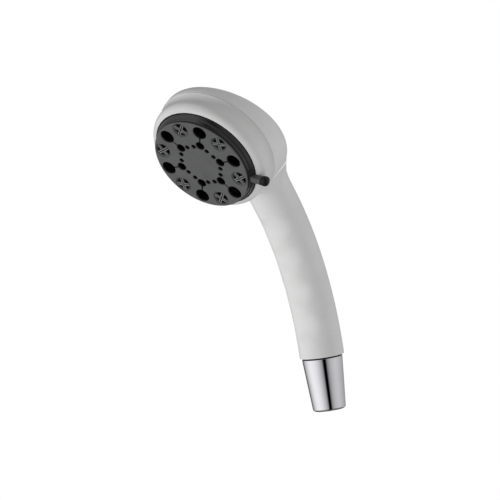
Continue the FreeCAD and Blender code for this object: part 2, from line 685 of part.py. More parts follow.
def valve_screws():
    low = VALVE_FRONT + SLIP
    head = disc(VALVE_SCREW_HEAD_R, low, low + VALVE_SCREW_HEAD)
    shank = disc(VALVE_SCREW_R, low, VALVE_BACK + VALVE_SCREW_LENGTH - TOUCH)
    screw = joined([head, shank]).cut(drive(low - PAST, low + DRIVE_DEPTH))
    screw.translate(V(0, BOSS_PLACE_R, 0))
    return in_head(Part.makeCompound([turned_to(screw, angle) for angle in BOSS_CLOCKS]))


def port_seal():
    low = PLATE_BACK + SEAL_LIFT
    high = low + SEAL_LENGTH
    place = (0, PORT_CIRCLE_R)
    body = pipe(SEAL_BORE_R, PORT_POCKET_R - SLIP, low, high, place)
    return in_head(body.cut(disc(SEAL_CUP_R, high - SEAL_CUP, high + PAST, place)))


def port_spring():
    """Compression spring between the seal's cup and the end of its pocket."""
    low = PLATE_BACK + SEAL_LIFT + SEAL_LENGTH - SEAL_CUP + SPRING_WIRE_R + TOUCH
    high = POCKET_BACK - SPRING_WIRE_R - TOUCH
    helix = Part.makeHelix((high - low) / SPRING_TURNS, high - low, SPRING_R)
    section = Part.Wire(Part.makeCircle(SPRING_WIRE_R, V(SPRING_R, 0, 0), Y_AXIS))
    wire = Part.Wire(helix).makePipeShell([section], True, True)
    wire.translate(V(0, PORT_CIRCLE_R, low))
    return in_head(wire)


# ---- Turning pieces of the head --------------------------------------------------------------------
def large_clock():
    """Clock angle of the first large jet: half a pitch from the nozzle beside the lever."""
    return LEVER_CLOCK - 180.0 / JETS


def hexagon_jets(low, high):
    """Medium jets at the hexagon's corners and small ones along its sides."""
    medium = disc(MEDIUM_JET_R, low, high, (0, HEXAGON_R))
    holes = pattern(medium, JETS, large_clock())
    corner = V(0, HEXAGON_R, 0)
    following = V(*clock(HEXAGON_R, 360.0 / JETS), 0)
    for i in range(1, SMALL_JETS_PER_SIDE + 1):
        place = corner + (following - corner) * (i / (SMALL_JETS_PER_SIDE + 1.0))
        small = disc(SMALL_JET_R, low, high, (place.x, place.y))
        holes += pattern(small, JETS, large_clock())
    return holes


def spray_face():
    edge = FACE_EDGE_ROUND
    body = turned([
        (0, 0),
        (FACE_R - edge, 0),
        (FACE_R - edge * 0.3, edge * 0.3, FACE_R, edge),
        (FACE_R, FACE_RIM),
        (FACE_BODY_R, FACE_RIM),
        (FACE_BODY_R, FACE_THICKNESS),
        (0, FACE_THICKNESS),
    ])
    outer_wall = pipe(FACE_BODY_R - CHAMBER_WALL, FACE_BODY_R, FACE_RIM, CHAMBER_DEPTH)
    inner_wall = pipe(MASSAGE_CHAMBER_R, MASSAGE_CHAMBER_R + CHAMBER_WALL, FACE_RIM, CHAMBER_DEPTH)
    boss = disc(PIN_BOSS_R, FACE_RIM, FACE_THICKNESS + PIN_BOSS)
    body = joined([body, outer_wall, inner_wall, boss])
    through = FACE_THICKNESS + TOUCH
    place = (0, OUTER_CIRCLE_R)
    large = disc(LARGE_JET_R, -PAST, through, place)
    slot = block(-SLOT_WIDTH / 2, SLOT_WIDTH / 2, HEXAGON_R, OUTER_CIRCLE_R, -PAST, SLOT_DEPTH)
    seat = disc(NOZZLE_R + SLIP, -PAST, NOZZLE_SEAT_DEPTH, place)
    feed = disc(NOZZLE_R - NOZZLE_SEAT_LIP, -PAST, through, place)
    cuts = pattern(large, JETS, large_clock()) + pattern(slot, JETS, large_clock())
    cuts += pattern(seat, JETS, LEVER_CLOCK) + pattern(feed, JETS, LEVER_CLOCK)
    cuts += hexagon_jets(-PAST, through)
    pin = disc(TURBINE_PIN_R, FACE_THICKNESS + PIN_BOSS - PIN_SINK, CHAMBER_DEPTH)
    return in_head(body.cut(cuts).cut(pin))


def star_nozzles():
    """Round inserts whose cross of ribs leaves four wedge-shaped openings."""
    place = V(0, OUTER_CIRCLE_R, 0)
    plate = disc(NOZZLE_R, NOZZLE_FRONT, NOZZLE_SEAT_DEPTH - TOUCH)
    opening_r = NOZZLE_R - NOZZLE_RIM
    openings = disc(opening_r, 0, FACE_THICKNESS)
    half = NOZZLE_RIB / 2
    low = NOZZLE_FRONT - NOZZLE_RIB_RISE
    bar = block(-half, half, -opening_r, opening_r, low, NOZZLE_SEAT_DEPTH - TOUCH)
    bars = []
    for angle in (45, 135):
        rib = bar.copy()
        rib.rotate(V(), Z_AXIS, angle)
        bars.append(rib)
    ribs = bars[0].fuse(bars[1]).common(disc(opening_r + NOZZLE_RIM / 2, low, FACE_THICKNESS))
    nozzle = joined([plate.cut(openings), ribs])
    nozzle.translate(place)
    return in_head(Part.makeCompound(pattern(nozzle, JETS, LEVER_CLOCK)))


def face_gaskets():
    low = CHAMBER_DEPTH + TOUCH
    outer = pipe(FACE_BODY_R - CHAMBER_WALL, FACE_BODY_R, low, PLATE_FRONT - TOUCH)
    inner = pipe(MASSAGE_CHAMBER_R, MASSAGE_CHAMBER_R + CHAMBER_WALL, low, PLATE_FRONT - TOUCH)
    return in_head(Part.makeCompound([outer, inner]))


def spindle_ring_depth():
    return (VALVE_FRONT + HUB_BACK) / 2


def distribution_plate():
    groove = spindle_ring_depth()
    half = SPINDLE_RING_R + SLIP
    body = turned([
        (0, PLATE_FRONT),
        (FACE_BODY_R, PLATE_FRONT),
        (FACE_BODY_R, PLATE_BACK),
        (SPINDLE_R, PLATE_BACK),
        (SPINDLE_R, groove - half),
        (SPINDLE_R - 2 * SPINDLE_RING_R, groove - half),
        (SPINDLE_R - 2 * SPINDLE_RING_R, groove + half),
        (SPINDLE_R, groove + half),
        (SPINDLE_R, SPINDLE_END),
        (0, SPINDLE_END),
    ])
    port = disc(PORT_R, PLATE_FRONT - PAST, PLATE_BACK + PAST, (0, PORT_CIRCLE_R))
    ball = CLICK_NOSE_R + TURN_GAP
    dimple = Part.makeSphere(ball, V(*clock(CLICK_CIRCLE_R, CLICK_CLOCK), PLATE_BACK - CLICK_DIMPLE + ball))
    cuts = pattern(port, SPRAY_POSITIONS, 0, SPRAY_STEP)
    cuts += pattern(dimple, SPRAY_POSITIONS, 0, SPRAY_STEP)
    cuts.append(disc(TURBINE_PIN_R, PLATE_FRONT - PAST, PLATE_FRONT + PIN_SINK))
    cuts.append(disc(SPINDLE_SCREW_R + TOUCH, SPINDLE_END - SPINDLE_SCREW_LENGTH, SPINDLE_END + PAST))
    return in_head(body.cut(cuts))


def spindle_o_ring():
    radius = SPINDLE_R - SPINDLE_RING_R
    return in_head(o_ring(radius, SPINDLE_RING_R - TOUCH / 2, V(0, 0, spindle_ring_depth())))


def spindle_washer():
    low = SPINDLE_END + TOUCH
    return in_head(pipe(SPINDLE_SCREW_R + SLIP, WASHER_DISC_R, low, low + WASHER_DISC))


def spindle_screw():
    low = SPINDLE_END + 2 * TOUCH + WASHER_DISC
    high = low + SPINDLE_SCREW_HEAD
    head = disc(SPINDLE_SCREW_HEAD_R, low, high)
    shank = disc(SPINDLE_SCREW_R, SPINDLE_END - SPINDLE_SCREW_LENGTH + TOUCH, low + TOUCH)
    bar = drive(high - DRIVE_DEPTH, high + PAST)
    return in_head(joined([head, shank]).cut([bar, turned_to(bar, 90)]))


def turbine_front():
    return FACE_THICKNESS + PIN_BOSS + TURBINE_GAP


def swirl_front():
    return PLATE_FRONT - TOUCH - SWIRL_THICKNESS


def turbine():
    """Bladed wheel with two open windows, so that it covers and opens the jets as it spins."""
    low = turbine_front()
    blade_high = swirl_front() - TURBINE_GAP
    hub_high = PLATE_FRONT - TURBINE_GAP
    wheel = disc(TURBINE_R, low, low + TURBINE_DISC)
    radii = (HEXAGON_R - 2 * MEDIUM_JET_R, TURBINE_R - TURBINE_RIM)
    depths = (low - PAST, low + TURBINE_DISC + PAST)
    windows = [sector(*radii, *depths, TURBINE_WINDOW, angle) for angle in TURBINE_WINDOWS]
    half = TURBINE_BLADE / 2
    blade = block(-half, half, 0, TURBINE_R - BLADE_SET, low, blade_high)
    hub = disc(TURBINE_HUB_R, low, hub_high)
    body = joined([wheel.cut(windows), hub] + pattern(blade, TURBINE_BLADES))
    return in_head(body.cut(disc(TURBINE_PIN_R + RUNNING, low - PAST, hub_high + PAST)))


def turbine_pin():
    low = FACE_THICKNESS + PIN_BOSS - PIN_SINK + TOUCH
    return in_head(disc(TURBINE_PIN_R, low, PLATE_FRONT + PIN_SINK - TOUCH))


def swirl_ring():
    """Flat ring under the plate whose slanting slots drive the turbine."""
    high = PLATE_FRONT - TOUCH
    body = pipe(SWIRL_INNER_R, MASSAGE_CHAMBER_R - SLIP, swirl_front(), high)
    half = SWIRL_SLOT / 2
    ends = (SWIRL_INNER_R + SWIRL_RIM, MASSAGE_CHAMBER_R - SWIRL_RIM)
    slot = block(-half, half, *ends, swirl_front() - PAST, high + PAST)
    slot.rotate(V(0, (SWIRL_INNER_R + MASSAGE_CHAMBER_R) / 2, high), Z_AXIS, SWIRL_SLANT)
    return in_head(body.cut(pattern(slot, SWIRL_SLOTS)))


def selector_ring():
    front = RING_FRONT
    back = PLATE_BACK
    inner = FACE_BODY_R + SLIP
    mid_depth = (front + RING_FLARE_DEPTH) / 2
    mid_r = (FACE_R + RING_BACK_R) / 2 + RING_BULGE
    ring = turned([
        (inner, front),
        (FACE_R, front),
        (mid_r, mid_depth, RING_BACK_R, RING_FLARE_DEPTH),
        (RING_BACK_R, back),
        (inner, back),
    ])
    half = LEVER_WIDTH / 2
    stem = block(-half, half, inner + LEVER_ROOT, KNOB_START + KNOB_R, LEVER_FRONT, LEVER_BACK)
    length = KNOB_TIP - KNOB_R - KNOB_START
    knob = Part.makeCylinder(KNOB_R, length, V(0, KNOB_START, KNOB_DEPTH), Y_AXIS)
    tip = Part.makeSphere(KNOB_R, V(0, KNOB_TIP - KNOB_R, KNOB_DEPTH))
    keep_out = bezel_outer(LEVER_CLEARANCE)
    inside = BEZEL_BORE_R - TURN_GAP
    keep_out = turned([(inside, keep_out[0][1])] + keep_out + [(inside, SEAM_DEPTH)])
    lever = joined([stem, knob, tip]).cut(keep_out)
    return in_head(joined([ring, turned_to(lever, LEVER_CLOCK)]))


NODES = {
    "handle_shell": handle_shell,
    "union_nut": union_nut,
    "inlet_spigot": inlet_spigot,
    "spigot_o_ring": spigot_o_ring,
    "flow_regulator": flow_regulator,
    "hose_washer": hose_washer,
    "filter_screen": filter_screen,
    "water_tube": water_tube,
    "tube_o_rings": tube_o_rings,
    "head_back_shell": head_back_shell,
    "head_bezel": head_bezel,
    "valve_body": valve_body,
    "valve_screws": valve_screws,
    "click_spring": click_spring,
    "port_seal": port_seal,
    "port_spring": port_spring,
    "spray_face": spray_face,
    "star_nozzles": star_nozzles,
    "face_gaskets": face_gaskets,
    "distribution_plate": distribution_plate,
    "spindle_o_ring": spindle_o_ring,
    "spindle_washer": spindle_washer,
    "spindle_screw": spindle_screw,
    "turbine": turbine,
    "turbine_pin": turbine_pin,
    "swirl_ring": swirl_ring,
    "selector_ring": selector_ring,
}


def main():
    os.makedirs("parts", exist_ok=True)
    for node, make in NODES.items():
        shape = make()
        solids = shape.Solids
        if not solids or not shape.isValid():
            raise RuntimeError("%s did not build" % node)
        shape.exportStep("parts/%s.step" % node)
        print("%-20s %2d solids  %9.1f mm3" % (node, len(solids), shape.Volume))


main()
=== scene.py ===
"""Looks of the handheld shower head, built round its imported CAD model."""

import json
import math

import bpy
import numpy as np
from mathutils import Matrix, Vector
from mathutils.geometry import delaunay_2d_cdt


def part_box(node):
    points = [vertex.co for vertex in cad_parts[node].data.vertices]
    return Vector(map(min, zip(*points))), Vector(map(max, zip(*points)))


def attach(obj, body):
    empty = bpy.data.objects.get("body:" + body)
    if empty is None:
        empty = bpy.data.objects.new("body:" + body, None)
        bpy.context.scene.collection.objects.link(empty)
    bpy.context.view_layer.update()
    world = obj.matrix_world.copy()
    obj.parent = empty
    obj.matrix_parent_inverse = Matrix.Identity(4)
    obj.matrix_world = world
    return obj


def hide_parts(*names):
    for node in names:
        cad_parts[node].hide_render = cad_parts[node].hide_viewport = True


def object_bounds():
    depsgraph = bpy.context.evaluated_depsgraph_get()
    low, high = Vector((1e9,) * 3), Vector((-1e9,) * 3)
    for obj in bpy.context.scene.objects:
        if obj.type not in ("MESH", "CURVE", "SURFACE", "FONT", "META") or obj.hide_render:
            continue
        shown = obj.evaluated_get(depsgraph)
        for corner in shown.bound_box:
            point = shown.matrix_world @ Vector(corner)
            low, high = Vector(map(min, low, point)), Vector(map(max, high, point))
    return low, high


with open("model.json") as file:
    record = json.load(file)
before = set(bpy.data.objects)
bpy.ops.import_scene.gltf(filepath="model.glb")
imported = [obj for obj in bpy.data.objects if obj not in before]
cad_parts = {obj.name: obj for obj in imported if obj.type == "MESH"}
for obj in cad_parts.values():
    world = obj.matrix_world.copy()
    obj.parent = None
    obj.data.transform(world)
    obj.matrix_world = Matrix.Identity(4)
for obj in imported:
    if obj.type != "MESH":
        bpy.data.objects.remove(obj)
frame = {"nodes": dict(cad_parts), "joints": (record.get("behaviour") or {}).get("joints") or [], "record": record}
CAD_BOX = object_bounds()
MM = 0.001

# ---- Sizes of the design, in millimetres and radians -------------------------------------------
# Handle: lengths count along its centreline from the foot
HANDLE_R = 13.65
LOWER_BEND_R = 239.0
LOWER_BEND = math.radians(14.2)
UPPER_BEND_R = 196.0
FOOT_ROUND = 0.45
FOOT_BORE_R = 9.2
FOOT_BORE_DEPTH = 11.0
FOOT_SKIRT_R = 12.1         # painted-shade collar between the foot and the nut
FOOT_SKIRT = -0.8
SCALLOPS = 4
SCALLOP_PITCH = 22.8
SCALLOP_FIRST = 21.3
SCALLOP_R = 24.0
SCALLOP_REACH = 0.9         # share of that radius along which a scallop is cut
SCALLOP_SPREAD_R = 20.0
SCALLOP_DEPTH = 1.6
SCALLOP_BLEND = 0.9

# Neck: reaches count from the spray axis towards the handle, depths back from the face
NECK_REACH = 42.4
NECK_DEPTH = 37.4
NECK_FLARE = 1.5
NECK_STRAIGHT = 10.4
NECK_TAPER = 28.0
NECK_TAPER_R = 8.2
FLARE_BACK = 1.2            # extra widening behind the neck
FLARE_LENGTH = 30.0
NECK_SEAM = 29.5            # reach of the head joint at its knee
NECK_SEAM_KNEE = 32.0       # depth where the joint turns outwards
NECK_SEAM_SLOPE = math.radians(38)
NECK_SEAM_SOFTNESS = 3.0
NECK_SEAM_BACK = 0.1        # how far the joint draws in per millimetre of depth behind the knee
JOINT_GAP = 0.55
JOINT_LINING = 14.0         # how far the painted-shade lining goes down into the handle
LINING_WALL = 3.2

# Back of the head
SHELL_R = 38.9
SHELL_WALL = 2.2
BACK_RISE = 10.35
BACK_TILT = math.radians(12)
BACK_FAR_DEPTH = 26.35
BACK_ROUND = 9.5
SEAM_DEPTH = 19.6
SEAM_GAP = 0.16
FRONT_EDGE_ROUND = 0.12
FRONT_EDGE_WIDTH = 1.9
FRONT_EDGE_DEPTH = 4.0
NECK_LIP = [(30.0, 2.0), (24.0, 0.18)]      # reach of the point each edge leans to, and how far
CORE = np.array([0.0, 8.0, 30.0])           # point inside the head that its surface goes round
BLEND_FRONT = 2.5           # blend of head and handle under the head
BLEND_BACK = 15.5           # and behind it
BLEND_DEPTHS = (24, 40)     # depths and reaches between which one grows into the other
BLEND_REACHES = (0, 26)

# Face, selector ring, nut
FACE_R = 31.4
FACE_THICKNESS = 3.4
FACE_EDGE = 0.35
JETS = 6
OUTER_CIRCLE_R = 25.8
HEXAGON_R = 15.3
LARGE_JET_R = 4.5
MEDIUM_JET_R = 2.9
SMALL_JET_R = 1.52
JET_EDGE = 0.26
SLOT_HALF = 0.42
NOZZLE_R = 5.0
NOZZLE_PLAY = 0.1
NOZZLE_FLOOR_R = 4.2
NOZZLE_FLOOR = 0.95
NOZZLE_BACK = 2.35
NOZZLE_EDGES = (0.05, 0.08)     # rounding of its outline and of its openings
OPENING = (1.35, 3.55, 31)      # inner and outer reach of an opening, half its angle in degrees
LEVER_CLOCK = 60.0
JET_STEP = 360.0 / JETS
FIRST_LARGE = LEVER_CLOCK - JET_STEP / 2
RING_R = 31.0
RING_BACK_R = 33.5
PLATE_BACK = 11.5
CHAMBER_WALLS = [(29.4, 30.9, 120), (18.3, 19.8, 96)]   # inner and outer radius, segments
CHAMBER_DEPTHS = (3.3, 8.4)
NUT_LENGTH = 32.3
NUT_TOP_R = 12.45
NUT_BOTTOM_R = 10.05
NUT_BORE_R = 7.5
NUT_SEAT_R = 10.54
NUT_SEAT = 16.5
NUT_CHAMFER = 0.9
NUT_LINING_R = (10.9, NUT_TOP_R - 0.35)     # painted-shade ring let into the nut's top
NUT_LINING = (NUT_LENGTH - 0.2, NUT_LENGTH + 0.03)

# Fineness of the meshes; spans are (start, end, count) in shares of a surface's length
AROUND = 168                # points round the handle and the back of the head
FINE_RING = 288
NUT_RING = 192
SMALL_RING = 48
EDGE_STEPS = 4
FOOT_STEPS = 6
HANDLE_SPANS = [(0, 0.8, 84), (0.8, 1, 40)]
HEAD_SPANS = [(0.004, 0.2, 18), (0.2, 0.8, 62), (0.8, 0.996, 24)]
INNER_SPAN = (0.9, 0.05, 22)

# Search for a surface: the radii between which it lies, about the axes and the head's core
SOLVE_ROUNDS = 34
HANDLE_RANGE = (5, 30)
NECK_RANGE = (6, 26)
HEAD_RANGE = (2, 80)

# ---- Profiles, as (radius, depth) or (radius, depth, corner radius) in millimetres --------------
TONGUE = [(34.6, 23), (34.6, 16.6, .2), (36.9, 16.6, .2), (36.9, 23)]
BEZEL_FRONT = [
    (34.35, 6.05), (35.6, 6.6), (36.85, 7.9), (37.6, 9.7), (37.75, 11.4), (37.6, 13.2),
    (37.52, 14.9), (37.78, 16.7), (38.3, 18.3), (38.86, 19.35),
]
BEZEL_INSIDE = [(33.9, 11.8), (33.9, 6.05, 0.3)]
BEZEL_BACK = [(38.84, 19.56), (38.6, 19.6), (37.1, 19.6, .2), (37.1, 16.4), (34.4, 11.8)]
SELECTOR_RING = [
    (RING_R, 1.55, .1), (31.62, 1.55, .15), (31.85, 2.3), (32.02, 3.45, .2), (32.62, 3.55, .3),
    (32.95, 4.6), (33.3, 5.9), (RING_BACK_R, 6.8), (RING_BACK_R, PLATE_BACK, .2),
    (RING_R, PLATE_BACK, .2),
]
NOZZLE_DISH = [(4.1, 2.3), (4.1, 0.95, .15), (4.8, 0.28, .2), (4.97, 0.28, .1), (4.97, 2.3)]

# Rim of the handle at the head joint, glossy and lit by a glowing painted highlight: share of its length, inset
# from the surface
RIM_LENGTH = 1.3
RIM_BEAD = 0.4
RIM = [(0.12, -RIM_BEAD * 0.7), (0.3, -RIM_BEAD), (0.55, -RIM_BEAD * 0.6), (0.8, 0.05), (1.0, 0.6)]
RIM_LINING = [(1.0, 2.2), (0.0, 2.4)]

# Lever: reach from the spray axis, depth, half width, half thickness; the last nine are the knob
LEVER = [
    (31.2, 4.6, 2.25, 2.45), (33.4, 4.6, 2.2, 2.45), (35.6, 4.62, 2.15, 2.4),
    (37.2, 4.75, 2.15, 2.45), (38.0, 5.0, 2.35, 2.65), (38.7, 5.25, 2.75, 2.95),
    (39.5, 5.4, 3.0, 3.15), (40.4, 5.4, 3.1, 3.2), (41.2, 5.4, 2.98, 3.08),
    (41.9, 5.4, 2.62, 2.7), (42.4, 5.4, 2.05, 2.12), (42.7, 5.4, 1.25, 1.3),
    (42.8, 5.4, 0.15, 0.15),
]
LEVER_AROUND = 40
KNOB_FROM = 4
KNOB_REACHES = (37.2, 39.5)     # where the flat stem grows into the round knob
STEM_POWER = 0.55               # squareness of the stem; 1 is round

# Grooved rib of a star insert: half of its section as (across, depth), and (reach, sink) along it
RIB_HALF = [(-.92, 1.2), (-.9, .3), (-.8, .08), (-.56, .03), (-.38, .14), (-.32, .95)]
RIB_LENGTH = [(0.3, 0.1), (0.55, 0.0), (2.6, 0.0), (3.9, 0.08), (4.5, 0.3)]

# ---- Head frame: x across, y towards the handle, z behind the face -----------------------------
selector = next(j for j in frame["joints"] if j["name"] == "selector_turn")
FACE_CENTRE = Vector(selector["pos_m"])
Z_HEAD = -Vector(selector["axis"]).normalized()
X_HEAD = Vector((1, 0, 0))
Y_HEAD = Z_HEAD.cross(X_HEAD)
HEAD_BASIS = np.array([X_HEAD, Y_HEAD, Z_HEAD])
HEAD_TILT = math.asin(Z_HEAD.z)
HANDLE_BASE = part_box("handle_shell")[0].z / MM


def from_head(points):
    """Head frame millimetres to row frame metres."""
    return np.asarray(points) @ HEAD_BASIS * MM + np.array(FACE_CENTRE)


def to_head(points):
    """Row frame millimetres to head frame millimetres."""
    return (points - np.array(FACE_CENTRE) / MM) @ HEAD_BASIS.T


def clock(radius, degrees):
    """Point of the face by its clock angle, from the handle's side towards +X."""
    turn = math.radians(degrees)
    return np.array([radius * math.sin(turn), radius * math.cos(turn)])


def in_head(parts):
    return [(from_head(points), faces) for points, faces in parts]


def in_row(parts):
    return [(np.asarray(points) * MM, faces) for points, faces in parts]


# ---- Mesh helpers --------------------------------------------------------------------------------
def piece(name, groups, body, nodes, sharp=38):
    """Joins parts into one smooth-shaded piece that rides on a body and replaces CAD nodes. Groups
    maps material names to lists of (points in metres, faces)."""
    points, faces, indices = [], [], []
    for index, parts in enumerate(groups.values()):
        for part_points, part_faces in parts:
            start = sum(len(p) for p in points)
            points.append(np.asarray(part_points, float))
            faces += [[start + int(i) for i in face] for face in part_faces]
            indices += [index] * len(part_faces)
    mesh = bpy.data.meshes.new(name)
    mesh.from_pydata(np.concatenate(points).tolist(), [], faces)
    mesh.polygons.foreach_set("material_index", indices)
    mesh.polygons.foreach_set("use_smooth", np.ones(len(mesh.polygons), bool))
    mesh.set_sharp_from_angle(angle=math.radians(sharp))
    made = bpy.data.objects.new(name, mesh)
    bpy.context.scene.collection.objects.link(made)
    for material in groups:
        mesh.materials.append(MATERIALS[material])
    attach(made, body)
    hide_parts(*nodes)


def full_turn(count):
    """Evenly spaced angles round a full turn."""
    return np.arange(count) * 2 * math.pi / count


def chained(*spans):
    """Values of (start, end, count) spans that meet end to end."""
    return np.concatenate([np.linspace(*span)[min(i, 1):] for i, span in enumerate(spans)])


def unit(v):
    return v / np.linalg.norm(v, axis=-1, keepdims=True)


def twice_area(loop):
    """Twice the area of a loop, positive if it runs anticlockwise."""
    x, y = loop[:, 0], loop[:, 1]
    return np.sum(x * np.roll(y, -1) - np.roll(x, -1) * y)


def grid_faces(rows, columns, closed_rows=False, flip=False):
    """Quads over a grid whose columns close on themselves."""
    faces = []
    for i in range(rows if closed_rows else rows - 1):
        for j in range(columns):
            a = i * columns + j
            b = i * columns + (j + 1) % columns
            c = ((i + 1) % rows) * columns + (j + 1) % columns
            d = ((i + 1) % rows) * columns + j
            faces.append((a, d, c, b) if flip else (a, b, c, d))
    return faces


def skin(rings, **settings):
    """Surface through rings that have the same number of points."""
    return np.concatenate(rings), grid_faces(len(rings), len(rings[0]), **settings)


def rounded(points, steps=5):
    """Closed outline of (r, z) or (r, z, corner radius) points with its corners rounded."""
    made = []
    count = len(points)
    for i, point in enumerate(points):
        corner = np.array(point[:2], float)
        if len(point) < 3:
            made.append(corner)
            continue
        before = np.array(points[i - 1][:2], float) - corner
        after = np.array(points[(i + 1) % count][:2], float) - corner
        reach = min(point[2], np.linalg.norm(before) * 0.49, np.linalg.norm(after) * 0.49)
        start = corner + before / np.linalg.norm(before) * reach
        end = corner + after / np.linalg.norm(after) * reach
        for t in np.linspace(0, 1, steps):
            made.append((1 - t) ** 2 * start + 2 * t * (1 - t) * corner + t * t * end)
    return np.array(made)


def flowing(points, steps=5):
    """Catmull-Rom curve through (r, z) points."""
    p = np.array([points[0]] + list(points) + [points[-1]], float)
    made = []
    for i in range(1, len(p) - 2):
        for t in np.linspace(0, 1, steps, endpoint=False):
            made.append(0.5 * (2 * p[i] + (p[i + 1] - p[i - 1]) * t
                               + (2 * p[i - 1] - 5 * p[i] + 4 * p[i + 1] - p[i + 2]) * t * t
                               + (3 * p[i] - p[i - 1] - 3 * p[i + 1] + p[i + 2]) * t ** 3))
    made.append(p[-2])
    return [tuple(q) for q in made]


def lathe(outline, segments=224):
    """Ring of a closed (r, z) outline about the z axis, in that frame's millimetres."""
    turns = full_turn(segments)
    outline = np.asarray(outline)
    points = np.stack([
        outline[:, :1] * np.sin(turns),
        outline[:, :1] * np.cos(turns),
        np.repeat(outline[:, 1:2], segments, 1),
    ], -1).reshape(-1, 3)
    flip = twice_area(outline) > 0
    return points, grid_faces(len(outline), segments, closed_rows=True, flip=flip)


def circle(radius, count, centre=(0, 0)):
    turns = full_turn(count)
    return np.stack([centre[0] + radius * np.cos(turns), centre[1] + radius * np.sin(turns)], 1)


def inside(points, loop):
    """Which points lie inside a closed loop."""
    a, b = loop, np.roll(loop, -1, 0)
    p = points[:, None]
    crosses = (a[:, 1] > p[..., 1]) != (b[:, 1] > p[..., 1])
    run = np.where(b[:, 1] == a[:, 1], 1, b[:, 1] - a[:, 1])
    at = a[:, 0] + (p[..., 1] - a[:, 1]) * (b[:, 0] - a[:, 0]) / run
    return (crosses & (p[..., 0] < at)).sum(1) % 2 == 1


def loop_normals(loop):
    """Unit normals that point out of an anticlockwise loop."""
    along = np.roll(loop, -1, 0) - np.roll(loop, 1, 0)
    normals = np.stack([along[:, 1], -along[:, 0]], 1)
    return normals / np.linalg.norm(normals, axis=1)[:, None]


def sheet_fill(outer, holes, depth, flip):
    """Flat triangles between an outer loop and its holes, at one depth."""
    loops = [outer] + holes
    coords = np.concatenate(loops)
    edges, start = [], 0
    for loop in loops:
        count = len(loop)
        edges += [(start + i, start + (i + 1) % count) for i in range(count)]
        start += count
    verts, _, faces, *_ = delaunay_2d_cdt([Vector(c) for c in coords], edges, [], 1, 1e-6)
    flat = np.array([tuple(v) for v in verts])
    centres = np.array([flat[list(f)].mean(0) for f in faces])
    keep = inside(centres, outer)
    for hole in holes:
        keep &= ~inside(centres, hole)
    kept = []
    for face, good in zip(faces, keep):
        if good:
            a, b, c = (flat[i] for i in face[:3])
            turn = (b[0] - a[0]) * (c[1] - a[1]) - (b[1] - a[1]) * (c[0] - a[0])
            kept.append(tuple(face) if (turn > 0) == flip else tuple(face)[::-1])
    return np.column_stack([flat, np.full(len(flat), depth)]), kept


def plate(outer, holes, front, back, edge, hole_edge):
    """Plate with holes whose front edges are rounded; every loop runs anticlockwise."""
    parts = []
    fronts = []
    for loop, radius, sign in [(outer, edge, 1)] + [(hole, hole_edge, -1) for hole in holes]:
        normals = loop_normals(loop) * sign
        rings = []
        for t in np.linspace(0, math.pi / 2, EDGE_STEPS):
            moved = loop - normals * radius * (1 - math.sin(t))
            depth = front + radius * (1 - math.cos(t))
            rings.append(np.column_stack([moved, np.full(len(loop), depth)]))
        rings.append(np.column_stack([loop, np.full(len(loop), back)]))
        parts.append(skin(rings, flip=sign < 0))
        fronts.append(rings[0][:, :2])
    parts.append(sheet_fill(fronts[0], fronts[1:], front, False))
    parts.append(sheet_fill(outer, holes, back, True))
    return parts


# ---- Outer form of head and handle ---------------------------------------------------------------
BACK_BALL_R = (SHELL_R ** 2 + BACK_RISE ** 2) / (2 * BACK_RISE)
BACK_EDGE_DEPTH = BACK_FAR_DEPTH + SHELL_R * math.tan(BACK_TILT)
BACK_DROP = BACK_BALL_R - BACK_RISE
BALL = np.array([0, BACK_DROP * math.sin(BACK_TILT),
                 BACK_EDGE_DEPTH - BACK_DROP * math.cos(BACK_TILT)])
LOWER_LENGTH = LOWER_BEND * LOWER_BEND_R
HANDLE_LENGTH = LOWER_LENGTH + (HEAD_TILT - LOWER_BEND) * UPPER_BEND_R
TURNS = full_turn(AROUND)
TINY = 1e-6


def everywhere(value):
    """The same value for each of the turns."""
    return np.full(AROUND, float(value))


def smooth_step(low, high, x):
    t = np.clip((x - low) / (high - low), 0, 1)
    return t * t * (3 - 2 * t)


def drum_distance(p):
    """Distance to the head's drum, in the head frame; its front end is left open."""
    radial = np.maximum(np.hypot(p[..., 0], p[..., 1]), TINY)
    away = p - BALL
    reach = np.linalg.norm(away, axis=-1)
    wall = radial - SHELL_R
    dome = reach - BACK_BALL_R
    cosine = (p[..., 0] * away[..., 0] + p[..., 1] * away[..., 1]) / (radial * reach)
    u, v = wall + BACK_ROUND, dome + BACK_ROUND
    rounding = (u > v * cosine) & (v > u * cosine) & (u > 0) & (v > 0)
    square = np.maximum(u * u + v * v - 2 * u * v * cosine, 0) / np.maximum(1 - cosine ** 2, 1e-3)
    return np.where(rounding, np.sqrt(square) - BACK_ROUND, np.maximum(wall, dome))


def blended(drum, rod, p):
    """Smooth union of the head's drum and the handle, wider behind the head than in front."""
    wide = smooth_step(*BLEND_DEPTHS, p[..., 2]) * smooth_step(*BLEND_REACHES, p[..., 1])
    reach = BLEND_FRONT + (BLEND_BACK - BLEND_FRONT) * wide
    share = np.maximum(reach - np.abs(drum - rod), 0) / reach
    return np.minimum(drum, rod) - share ** 2 * reach / 4


def neck_radius(y):
    """Radius of the neck's straight part by distance from the spray axis."""
    inner = NECK_REACH - NECK_STRAIGHT
    growth = HANDLE_R + NECK_FLARE - NECK_TAPER_R
    taper = NECK_TAPER_R + growth * np.maximum(y - inner + NECK_TAPER, 0) / NECK_TAPER
    straight = HANDLE_R + NECK_FLARE * np.clip((NECK_REACH - y) / NECK_STRAIGHT, 0, 1)
    return np.where(y < inner, taper, straight)


def widening(y, behind):
    """How much wider the neck is than the grip; behind is 0 at its front and 1 at its back."""
    tail = np.clip(1 - (y - NECK_SEAM) / FLARE_LENGTH, 0, 1)
    return neck_radius(y) - HANDLE_R + FLARE_BACK * behind * tail ** 2


